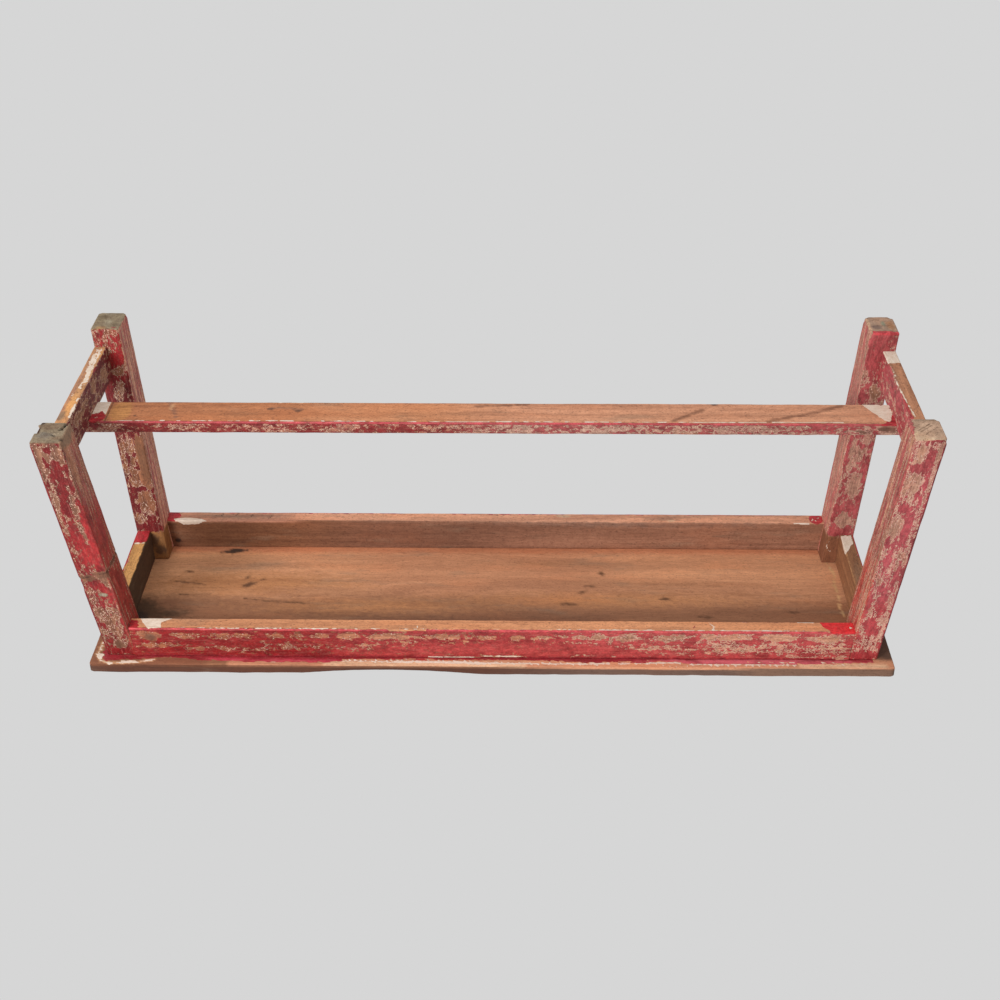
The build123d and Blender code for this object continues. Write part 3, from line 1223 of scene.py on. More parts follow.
@dataclass
class Legs:
    """The four splayed legs.

    Attributes:
        spacing: How far apart the points of their meshes are.
        arris: How far their arrises are rounded.
    """

    spacing: float = 1.7
    arris: float = 2.6

    def section(self, side_x: int, side_y: int, height: float) -> tuple[Point, ...]:
        """Give the four corners of a leg at a height.

        Args:
            side_x: -1 for a left leg and 1 for a right one.
            side_y: -1 for a front leg and 1 for a back one.
            height: The height above the floor.

        Returns:
            The corners, from the inner one round by the outer end face.
        """
        x = FRAME.leg_x(height)
        y = FRAME.leg_y(SPREADS[side_x, side_y], height)
        inner_x = x - FRAME.leg_width
        inner_y = y - FRAME.leg_depth
        return tuple(
            (side_x * px, side_y * py, height)
            for px, py in ((inner_x, inner_y), (x, inner_y), (x, y), (inner_x, y))
        )

    def board(self, side_x: int, side_y: int) -> Board:
        """Describe one leg.

        Args:
            side_x: -1 for a left leg and 1 for a right one.
            side_y: -1 for a front leg and 1 for a back one.

        Returns:
            The leg's board.
        """
        node = f"{SIDE_Y[side_y]}_{SIDE_X[side_x]}_leg"
        looks = {(1, -1): self.front_right, (-1, -1): self.front_left, (1, 1): self.back_right,
            (-1, 1): self.back_left}
        ends = [self.section(side_x, side_y, height) for height in (0.0, FRAME.seat_under)]
        return Board(f"worn_{node}", (node,), *ends, spacing=self.spacing, arris=self.arris,
            end_arris=2.2, seed=6 + side_x + 2 * side_y, look=looks[side_x, side_y]())

    def boards(self) -> dict[tuple[int, int], Board]:
        """Describe the four legs, by their sides."""
        return {(side_x, side_y): self.board(side_x, side_y) for side_x, side_y in SPREADS}

    def sides(
        self, plain: Coat, inner_x: Coat, inner_y: Coat, foot: Coat, inside: Coat
    ) -> tuple[Side, ...]:
        """Start a leg's look with its coats, and with bare wood inside the aprons.

        Args:
            plain: The coat of the outer long side, and of all that the others leave.
            inner_x: The coat of the side that looks along the bench.
            inner_y: The coat of the side that looks across it.
            foot: The coat of the foot's end grain.
            inside: The bare wood.

        Returns:
            The outer, the two inner, the foot's and the upper end's side.
        """
        faces = (Face.B_HIGH, Face.A_LOW, Face.B_LOW, Face.START, Face.END)
        sides = covered(faces, plain, inner_x, inner_y, foot, inside)
        sides[2].tone(357, 420, inside, 5)
        sides[1].patch(inside, (357, -10), (420, -10), (420, 30), (357, 30), ragged=1.5, soft=4, wrap=5)
        return sides

    def front_right(self) -> Look:
        """Describe the look of the front right leg.

        Returns:
            The look.
        """
        face, inner, _, foot, _ = self.sides(
            flaked(0.5, (132, 24, 27), (147, 101, 79), primer=0.06),
            streaked(0.44, (166, 84, 74), (182, 128, 104)), streaked(0.5, (150, 56, 52)),
            bare(152, 138, 118), bare(150, 108, 78),
        )
        tan = worn(138, 98, 80)
        # Near-black, for painted shade inside the foot's crack and hole
        pit = bare(24, 18, 14)
        face.tone(-10, 120, Coat(paint=0.42, red=(114, 20, 22), wood=(124, 84, 68)))
        inner.tone(130, 420, Coat(paint=0.58, red=(164, 52, 44), wood=(170, 110, 86)))
        face.blots(tan, (16, 10, 12, 8), (24, 36, 22, 6), (78, 35, 15, 5), (122, 11, 22, 4),
            (18, 26, 14, 4))
        face.blots(HELD, (50, 15, 20, 12), (12, 22, 5, 5), (88, 21, 16, 8), (135, 4, 32, 4),
            (112, 25, 12, 6), (163, 25, 20, 7), (34, 30, 10, 4), (70, 6, 9, 3))
        face.blots(daub(0.92, 160, 37, 38), (200, 14, 30, 15), (160, 6, 40, 6), (282, 12, 20, 8),
            ragged=3.5, soft=14)
        face.blots(tan, (55, 9, 6, 2.5), (163, 12, 14, 3), (98, 34, 12, 3), (250, 10, 10, 7),
            (385, 18, 10, 8, 20), (350, 38, 30, 4))
        face.blots(Coat(paint=0.42, primer=0.1), (200, 37, 50, 4), (340, 22, 50, 16), (300, 37, 22, 5),
            (70, 37, 30, 4), ragged=4, soft=8)
        face.blots(HELD, (262, 26, 13, 6), (300, 25, 9, 5), (400, 22, 6, 24))
        face.strokes(daub(1.2, 120, 30, 30), 3, ((8, 43), (408, 43)), ragged=1.2)
        face.blots(bare(124, 84, 66), (243, 8, 6, 9), (249, 30, 5, 11), (386, 19, 6, 5), ragged=3)
        face.strokes(bare(78, 48, 40), 1.6, ((239, -2), (242, 12)), ((247, 27), (252, 46)), ragged=1.2,
            soft=2)
        face.blots(bare(166, 158, 142), (282, 17, 3, 6), ragged=1, soft=2)
        inner.blots(bare(152, 124, 104), (4, 30, 14, 30), ragged=5, soft=8)
        inner.blots(Coat(paint=0.1, primer=0.1), (66, 43, 34, 5))
        inner.blots(daub(0.95, 156, 44, 40), (190, 27, 36, 10), (300, 25, 36, 10), (150, 51, 50, 6),
            ragged=5, soft=10)
        inner.strokes(Coat(paint=0.1, wood=(110, 72, 56)), 7, ((241, -2), (239, 60)), ragged=4, soft=7)
        # Painted shade: a near-black spot in the gap where the front apron meets this leg
        inner.blots(bare(34, 20, 18), (354, 46, 2.5, 2.5), ragged=0.8, soft=1.5)
        # Painted shade: the crack and the hole in the foot are coloured near-black, over the dents cut
        # below
        foot.strokes(pit, 3.4, ((4, -1), (5.5, 8), (8, 15), (9, 21)), soft=1)
        foot.blots(pit, (15.5, 34.5, 2.2, 2.5), ragged=0.6, soft=1.2)
        foot.blots(bare(74, 58, 46), (39, 19, 2, 10), (40, 2, 5, 4), (2, 47, 2.5, 4), ragged=1.2, soft=3)
        foot.blots(stain_and_shade(138, 118, 98), (24, 12, 14, 8), (8, 42, 9, 5), soft=6)
        foot.blots(stain_and_shade(134, 126, 116), (28, 36, 12, 8), soft=8, ragged=4)
        face.split(1.4, 4, (239, 0), (243, 20), (252, 46), ragged=1.5, soft=6, wrap=9)
        face.chip(0.8, (244, -5), (256, 50), (275, 50), (262, -5), ragged=1.5, soft=10, wrap=9)
        inner.split(1, 4, (240, -2), (240, 60), ragged=1.5, soft=9, wrap=9)
        foot.split(6, 2.8, (4.5, 0), (5.5, 8), (8, 15), (9, 21), ragged=0.5, soft=1.4, wrap=7)
        foot.pits((15.5, 34.5, 2.2, 2.5, 4, 5), ragged=0.3, soft=1.2)
        foot.chip(3.2, (40, 9), (60, 9), (60, 29), (38, 28), ragged=1, soft=2.5, wrap=14)
        foot.chip(2, (37, -9), (60, -9), (60, 7), (42, 6), ragged=0.8, soft=2, wrap=6)
        foot.pits((46, 61, 7, 6, 6, 2.2), (-1, 60, 6, 5, 5, 1.6), ragged=1, soft=3)
        return face.look

    def front_left(self) -> Look:
        """Describe the look of the front left leg.

        Returns:
            The look.
        """
        face, inner, _, foot, _ = self.sides(
            flaked(0.5, (171, 68, 73), (214, 157, 144), primer=0.24, streak=0.38),
            streaked(0.44, (172, 80, 76), (194, 144, 120), primer=0.08), streaked(0.5, (176, 76, 74)),
            bare(216, 184, 162), bare(140, 96, 70),
        )
        tan = worn(196, 150, 132)
        face.tone(-10, 60, Coat(red=(168, 70, 72)))
        face.tone(290, 420, Coat(paint=0.52, primer=0.3, red=(180, 60, 64), wood=(238, 184, 166)))
        inner.tone(230, 420, Coat(paint=0.54, red=(186, 72, 64), wood=(208, 154, 128)))
        face.blots(tan, (28, 12, 18, 7), (80, 14, 24, 12), (158, 10, 30, 8), (22, 38, 16, 5))
        face.blots(Coat(paint=0.2, wood=(188, 130, 114)), (215, 30, 22, 9), (240, 9, 18, 7),
            (305, 8, 16, 5), (285, 35, 12, 4), (342, 6, 8, 6))
        face.blots(daub(0.62, 186, 76, 84), (120, 30, 50, 6), (225, 20, 40, 8), (195, 10, 20, 8), soft=14)
        face.blots(HELD, (46, 16, 7, 12), (28, 28, 20, 5), (94, 24, 10, 4), (118, 14, 6, 9),
            (164, 24, 20, 5), (176, 4, 8, 3), (218, 12, 9, 3), (236, 36, 22, 5), (292, 4, 30, 4),
            (300, 24, 24, 6), (335, 16, 14, 9), (360, 27, 18, 8), (398, 22, 8, 20))
        face.blots(Coat(paint=0.42, primer=0.36), (100, 12, 13, 7), (372, 26, 18, 14), (150, 37, 90, 4),
            (330, 35, 50, 4), ragged=3, soft=6)
        face.strokes(daub(1.2, 134, 40, 44), 3, ((8, 43), (408, 43)), ragged=1.4)
        face.strokes(CRUMBS, 2.4, ((60, 39), (80, 37), (108, 38)), ((112, 33), (150, 35), (168, 34)),
            ((190, 36), (214, 39)), ((190, 6), (212, 8), (232, 5)), ragged=2.2, soft=3)
        inner.blots(Coat(paint=0.2, primer=0.35), (12, 41, 10, 8), ragged=4)
        foot.blots(stain_and_shade(176, 150, 130), (22, 3, 24, 3))
        foot.strokes(stain_and_shade(136, 108, 88), 1, *(saw_mark(k) for k in (-2, 0, 1, 3)), soft=1.6)
        foot.strokes(stain_and_shade(224, 196, 168), 3, ((5, 55), (40, 55)), ((3, 44), (5, 34)), ragged=1.6,
            soft=3)
        foot.blots(stain_and_shade(226, 200, 176), (12, 50, 5, 4), (24, 53, 8, 3), ragged=1.5, soft=3)
        foot.patch(daub(0.8, 180, 92, 88), (-2, -3), (6.5, -3), (6, 24), (2, 46), (-2, 50), soft=4)
        foot.blots(HELD, (30, 58, 16, 1.6), ragged=1.2, soft=2)
        for number in range(-3, 6):
            foot.split(0.6, 1.2, *saw_mark(number), ragged=0.3, soft=1.6, wrap=2)
        foot.pits((47, 61, 9, 8, 8, 2.6), (47, -3, 9, 9, 8, 2.4), ragged=0.6, soft=4)
        return face.look

    def back_right(self) -> Look:
        """Describe the look of the back right leg.

        Returns:
            The look.
        """
        wood = (150, 99, 73)
        _, _, face, foot, _ = self.sides(
            flaked(0.55, red=(150, 52, 50)), streaked(0.4, (180, 76, 74), (230, 172, 146), primer=0.08),
            flaked(0.7, (106, 10, 14), wood, primer=0.2), bare(156, 142, 120), bare(158, 114, 70),
        )
        face.tone(-10, 90, Coat(red=(148, 22, 24)))
        face.blots(worn(*wood), (26, 17, 11, 7), (70, 16, 5, 8), (100, 20, 18, 7, 25), (203, 28, 12, 7),
            (228, 24, 10, 4), (258, 24, 16, 12), (302, 18, 24, 13), (330, 32, 10, 8), (215, 38, 26, 3),
            (12, 36, 12, 7), ragged=2.5)
        face.blots(HELD, (50, 15, 8, 13), (277, 20, 2, 22), (310, 31, 10, 3), (350, 22, 6, 26),
            (291, 36, 8, 5), (168, 20, 6, 20))
        face.blots(CRUMBS, (72, 15, 7, 9), (104, 20, 18, 6), (196, 22, 14, 5), ragged=3, soft=6)
        face.blots(Coat(primer=0.28), (98, 20, 24, 14), (210, 30, 30, 10), (322, 26, 20, 12), soft=8)
        face.blots(bare(136, 92, 68), (226, 8, 42, 7))
        face.blots(Coat(paint=0.5, primer=0.1, wood=(124, 80, 62)), (18, 22, 22, 22), ragged=4, soft=8)
        face.blots(bare(104, 76, 54), (372, 24, 12, 16), (390, 12, 8, 10), ragged=4, soft=8)
        face.strokes(CRUMBS, 1.2, ((185, 18), (225, 14), (265, 8)), ragged=1.6, soft=2.5)
        foot.blots(daub(0.62, 150, 74, 66), (9, 5, 6, 4), soft=4)
        foot.blots(stain_and_shade(174, 140, 104), (28, 5, 7, 6))
        foot.blots(stain_and_shade(168, 158, 138), (22, 24, 6, 10), (30, 52, 8, 4), soft=7)
        foot.blots(stain_and_shade(132, 118, 96), (10, 14, 4, 10), (34, 40, 8, 10), soft=8)
        foot.pits((47, 61, 8, 7, 8, 2.2), (-2, 60, 6, 6, 7, 1.8), (-2, -2, 5, 5, 7, 1.6), ragged=0.6,
            soft=4)
        return face.look

    def back_left(self) -> Look:
        """Describe the look of the back left leg.

        Returns:
            The look.
        """
        taupe = (184, 138, 122)
        _, inner, face, foot, _ = self.sides(
            flaked(0.55, red=(170, 66, 66)), streaked(0.42, (196, 90, 86), (208, 152, 132), primer=0.08),
            flaked(0.54, (174, 76, 78), taupe, primer=0.14), bare(188, 158, 140), bare(148, 98, 72),
        )
        face.blots(HELD, (14, 20, 16, 24), (44, 14, 22, 12), (160, 22, 7, 24), (305, 20, 6, 20),
            (350, 22, 8, 26), (200, 4, 26, 2.5), ragged=3, soft=8)
        face.blots(worn(148, 104, 84), (98, 24, 17, 8, 20), ragged=3)
        face.blots(Coat(primer=0.3), (82, 12, 10, 5, 20), ragged=3)
        face.blots(worn(*taupe), (208, 16, 20, 8), (262, 26, 20, 10), (328, 20, 12, 12), (180, 32, 10, 6),
            ragged=3.5, soft=8)
        foot.patch(daub(2, 204, 68, 74), (3, -3), (47, -3), (47, 7), (3, 8), ragged=1.6, soft=3)
        foot.blots(bare(146, 150, 134), (25, 34, 3, 8), ragged=1, soft=3)
        foot.blots(stain_and_shade(188, 142, 110), (35, 26, 6, 14), soft=6)
        foot.blots(stain_and_shade(140, 116, 108), (13, 22, 7, 7), soft=6)
        foot.strokes(stain_and_shade(226, 186, 158), 3, ((2, 6), (2.5, 50)), ragged=1.2, soft=2)
        inner.strokes(CRUMBS, 2, ((2, 8), (60, 2)), ((60, 1.5), (350, 1.5)), ragged=1.6, soft=3)
        face.strokes(WHITE, 1.6, ((366, 6), (374, 3), (382, 6), (386, 12)), ragged=0.6)
        foot.pits((46, 61, 10, 9, 9, 3.2), (-2, 61, 9, 7, 9, 2.6), (-2, -2, 6, 6, 9, 2), ragged=1,
            soft=4)
        return face.look


def saw_mark(number: int) -> tuple[Spot, Spot]:
    """Give the ends of one of a row of slanting saw marks on a foot."""
    step = 3 * number
    return (8 + step, 33 + step), (28 + step, 14 + step)


@dataclass
class Aprons:
    """The four boards under the seat.

    Attributes:
        spacing: How far apart the points of the long boards' meshes are.
        long_thickness: How thick the front and back boards are.
        front_proud: How far the front one stands out beyond the tops of the legs.
        back_proud: How far the back one does.
        end_thickness: How thick the end boards are.
        end_x: Where the end boards' outer faces meet the seat.
        end_lean: How far they lean out, for each millimetre down.
    """

    spacing: float = 2.0
    long_thickness: float = 26.0
    front_proud: float = 2.0
    back_proud: float = 5.0
    end_thickness: float = 21.0
    end_x: float = 586.5
    end_lean: float = 0.06

    def long_ends(self, side_y: int) -> list[tuple[Point, ...]]:
        """Give the end sections of the front or back board, with a from the front.

        Args:
            side_y: -1 for the front board and 1 for the back one.

        Returns:
            The section at its left end and the one at its right end.
        """
        outer = FRAME.top_y + (self.front_proud if side_y < 0 else self.back_proud)
        near, far = sorted((side_y * outer, side_y * (outer - self.long_thickness)))
        heights = (FRAME.apron_bottom, FRAME.seat_under)
        reach = [FRAME.leg_x(z) - FRAME.leg_width + FRAME.bury for z in heights]
        ends = []
        for side_x in (-1, 1):
            low, high = ((side_x * x, z) for x, z in zip(reach, heights))
            corners = ((low, near), (low, far), (high, far), (high, near))
            ends.append(tuple((x, y, z) for (x, z), y in corners))
        return ends

    def cross_ends(self, side_x: int) -> tuple[tuple[Point, ...], tuple[Point, ...]]:
        """Give the end sections of the left or right board."""
        heights = (FRAME.apron_bottom, FRAME.seat_under)
        return cross_ends(side_x, self.place_of_end, self.end_thickness, heights)

    def boards(self) -> list[Board]:
        """Describe the four aprons."""
        return [self.front(), self.back(), self.left(), self.right()]

    def front(self) -> Board:
        """Describe the front apron.

        Returns:
            The board.
        """
        face, edge, _, _ = covered(
            FRONT_BAR, flaked(0.8, (164, 50, 50), (184, 126, 100)), bare(227, 161, 120),
            bare(150, 100, 76), bare(*UMBER),
        )
        scarlet = (222, 44, 48)
        thin = Coat(paint=0.5, primer=0.1)
        face.tone(-10, 440, Coat(paint=0.68, primer=0.24, streak=0.35, red=(186, 70, 70),
            wood=(216, 162, 138)), 140)
        face.tone(780, 1110, Coat(paint=0.82, red=(142, 26, 26), wood=(162, 100, 74)), 120)
        face.blots(WORN, (38, 13, 19, 7), (68, 13, 9, 4), (110, 11, 28, 6), (192, 10, 46, 6),
            (274, 13, 25, 6), (342, 13, 21, 6), (385, 12, 10, 5), (410, 13, 10, 3.5), (438, 12, 8, 3),
            (468, 14, 13, 3.5), (505, 14, 15, 4), (545, 14, 16, 5), (612, 12, 38, 5), (695, 13, 35, 6),
            (756, 12, 18, 6), (802, 13, 14, 5), (838, 12, 13, 7), (870, 13, 16, 5), (940, 14, 34, 6),
            (1005, 14, 24, 6), (1062, 13, 18, 8), (1052, 31, 26, 5), (988, 37, 12, 3), ragged=2.5)
        face.blots(Coat(paint=0.42, primer=0.4), (38, 30, 34, 9), (100, 32, 48, 10), (180, 33, 40, 7),
            ragged=4, soft=8)
        face.blots(thin, (215, 36, 40, 7), (290, 34, 50, 8), (420, 34, 40, 6), (560, 36, 80, 5),
            (700, 24, 50, 4), (760, 34, 90, 5), (880, 28, 50, 4), (920, 38, 60, 4), ragged=4, soft=8)
        face.blots(daub(0.95, 186, 70, 68), (500, 38, 120, 10), (660, 41, 60, 6), soft=20, ragged=5)
        face.blots(bare(126, 86, 70), (1060, 17, 8, 6), ragged=1.5)
        face.strokes(daub(1.2, 146, 36, 46), 2.6, ((24, 51.5), (1074, 51.5)), ragged=2, soft=3)
        face.strokes(CRUMBS, 2, ((10, 49), (90, 48)), ((490, 50), (560, 49)), ((562, 52), (640, 52)),
            ragged=1.2, soft=2)
        face.strokes(WHITE, 0.9, ((500, 50), (555, 49)), ((570, 52), (640, 52)), soft=1.5)
        edge.patch(Coat(paint=2.2, red=scarlet), (-4, -3), (37, -3), (40, 6), (46, 14), (51, 22),
            (52, 30), (-4, 30), ragged=1.6, soft=2, wrap=2)
        edge.blots(daub(2.2, 170, 36, 40), (1089, 8, 13, 14), wrap=2, soft=2)
        edge.strokes(daub(1.8, 206, 80, 84), 2.6, ((45, 0.6), (640, 0.6)), ((700, 0.4), (1090, 0.4)),
            ragged=1.0)
        edge.strokes(Coat(primer=0.62), 2.6, ((50, 4), (1040, 3.4)), ragged=1.4, soft=3)
        edge.strokes(Coat(paint=-1.5, primer=1), 1.3, ((100, 3), (205, 3.6)),
            ((225, 3), (300, 4.5), (382, 4)), ((640, 2.4), (700, 2), (990, 1.8)), ragged=1.2, soft=1.8)
        edge.strokes(CRUMBS, 3, ((60, 6), (110, 5)), ((470, 4), (530, 4)), ((560, 3), (700, 3)),
            ((380, 5), (460, 5)), ((60, 24), (120, 24)), ((150, 24), (180, 24)), ragged=1.2, soft=3)
        edge.strokes(WHITE, 2.2, ((214, 4), (210, 12), (217, 22)), ragged=0.9)
        edge.strokes(WHITE, 1.6, ((60, 24), (84, 25)), ragged=0.9)
        edge.strokes(Coat(paint=1.4, red=ROSE), 2, ((243, 6), (236, 20)))
        edge.blots(WHITE, (7, 12, 2, 2.8), (655, 8, 1, 3), ragged=0.5, soft=1)
        edge.patch(WHITE, (1042, 2), (1060, 0), (1068, 10), (1078, 27), (1024, 27), (1042, 16),
            ragged=1.2, soft=1.4, wrap=2)
        # Painted shade: a near-black spot in the gap where this apron meets the front right leg
        edge.blots(bare(24, 18, 16), (1093, 3, 2, 3), ragged=0.3, soft=1)
        return Board("worn_front_apron", ("front_apron",), *self.long_ends(-1), spacing=self.spacing,
            arris=1.6, seed=11, rub=0.2, look=face.look)

    def back(self) -> Board:
        """Describe the back apron.

        Returns:
            The board.
        """
        _, edge, inner, _ = covered(
            OTHER_BAR, flaked(0.7), bare(231, 170, 141), bare(172, 126, 104), bare(*UMBER),
        )
        dark = bare(66, 46, 38)
        inner.tone(520, 1110, stain_and_shade(134, 94, 76), 300)
        inner.tone(820, 1110, stain_and_shade(136, 92, 66), 200)
        inner.blots(stain_and_shade(150, 118, 104), (330, 4, 150, 4), soft=10, ragged=3)
        edge.tone(880, 1110, stain_and_shade(210, 152, 128), 60)
        edge.blots(stain_and_shade(176, 134, 114), (268, 12, 26, 5), (960, 14, 60, 5), ragged=3, soft=8)
        edge.blots(daub(2.2, 186, 44, 52), (12, 13, 12, 14), (1084, 13, 15, 14), ragged=1.6, wrap=2,
            soft=1.5)
        edge.blots(WHITE, (18, 12, 1.2, 4, 20), (13, 9, 1, 2.6, -30), (8, 17, 1, 2.4, 50), ragged=0.4,
            soft=1)
        edge.strokes(WHITE, 2.4, ((26, 1), (50, 1.5)))
        edge.blots(stain_and_shade(226, 188, 160), (252, 7, 6, 3), (428, 19, 8, 4), (436, 20, 5, 3), ragged=1.5,
            soft=2)
        edge.strokes(CRUMBS, 2, ((590, 25.4), (760, 25.4)), ((320, 25.4), (400, 25.4)),
            ((30, 25.4), (90, 25.4)), ragged=1)
        edge.strokes(Coat(paint=1.4, red=ROSE), 2.6, ((60, 24.8), (400, 24.8)),
            ((430, 24.4), (620, 24.6)), ((700, 24.4), (1020, 24.6)), ragged=1.6)
        edge.strokes(dark, 1.4, ((922, 8), (916, 18)), ((952, 14), (948, 22)), ((978, 17), (973, 23)),
            ((1002, 16), (999, 22)), ragged=0.6)
        edge.patch(WHITE, (1022, -1), (1076, -1), (1080, 5), (1068, 9), (1050, 9), (1032, 5), ragged=0.8,
            wrap=2)
        inner.patch(WHITE, (1024, -1), (1076, -1), (1064, 8), (1040, 7), ragged=0.8, wrap=1.5)
        inner.blots(bare(64, 44, 34), (1079, 40, 5, 4), ragged=1.5, soft=3)
        return Board("worn_back_apron", ("back_apron",), *self.long_ends(1), spacing=self.spacing,
            arris=1.4, seed=12, rub=0.3, look=edge.look)

    def left(self) -> Board:
        """Describe the left end apron.

        Returns:
            The board.
        """
        _, edge, inner, _ = covered(
            OTHER_BAR, flaked(0.65), bare(166, 118, 86), bare(168, 118, 84), bare(*UMBER),
        )
        edge.patch(WHITE, (146, -1), (197, -1), (198, 17), (178, 17), (166, 10), (160, 8), ragged=1.2,
            wrap=2)
        edge.blots(daub(2.2, 186, 44, 52), (210, 10, 11, 14), ragged=1.5, wrap=2, soft=2)
        edge.strokes(Coat(paint=1.6), 2.2, ((60, 20.5), (200, 20)), ragged=0.9)
        edge.strokes(CRUMBS, 2, ((60, 17), (196, 17)), ragged=1.2)
        edge.strokes(daub(1.8, 186, 44, 52), 2.4, ((150, 20), (200, 20), (204, 0)), ragged=0.9)
        inner.blots(WHITE, (165, 1, 16, 4), ragged=1.5, wrap=1.5, soft=2)
        inner.strokes(stain_and_shade(200, 152, 108), 1.4, ((50, 1), (150, 1)), ragged=1.4, soft=2)
        return Board("worn_left_apron", ("left_apron",), *self.cross_ends(-1), spacing=1.7,
            arris=1.5, seed=13, look=edge.look)

    def right(self) -> Board:
        """Describe the right end apron.

        Returns:
            The board.
        """
        # The inner side's dark brown, far darker than the left end apron's, is painted shade on a side
        # that faces away from the key lamp
        _, edge, _, _ = covered(
            OTHER_BAR, flaked(0.65), bare(222, 168, 106), bare(92, 68, 48), bare(*UMBER),
        )
        edge.blots(daub(2.2, 186, 46, 54), (196, 10, 30, 16), ragged=1.2, wrap=2, soft=1.5)
        edge.strokes(WHITE, 2.4, ((168, -1), (165, 21)), ragged=1.6)
        edge.strokes(daub(1.6, 170, 46, 48), 2.2, ((60, 20.5), (180, 20)), ragged=0.9)
        edge.strokes(CRUMBS, 2, ((60, 17), (178, 17)), ragged=1.4)
        return Board("worn_right_apron", ("right_apron",), *self.cross_ends(1), spacing=1.7,
            arris=1.5, seed=14, look=edge.look)

    def place_of_end(self, height: float) -> float:
        """Give the distance of an end board's outer face from the middle at a height."""
        return self.end_x + self.end_lean * (FRAME.seat_under - height)


def cross_ends(
    side_x: int, outer_x: Callable[[float], float], thickness: float, heights: Spot
) -> tuple[tuple[Point, ...], tuple[Point, ...]]:
    """Give the front and back sections of a board between the legs of one end.

    Args:
        side_x: -1 for the left end and 1 for the right one.
        outer_x: The distance of its outer face from the middle at a height.
        thickness: How thick it is.
        heights: The heights of its lower and upper edges.

    Returns:
        The two sections, with a from the inside and b upwards.
    """
    ends = []
    for side_y in (-1, 1):
        rows = []
        for z in heights:
            y = FRAME.leg_y(SPREADS[side_x, side_y], z) - FRAME.leg_depth + FRAME.bury
            rows.append([(side_x * (outer_x(z) - inset), side_y * y, z) for inset in (thickness, 0)])
        ends.append((rows[0][0], rows[0][1], rows[1][1], rows[1][0]))
    return ends[0], ends[1]


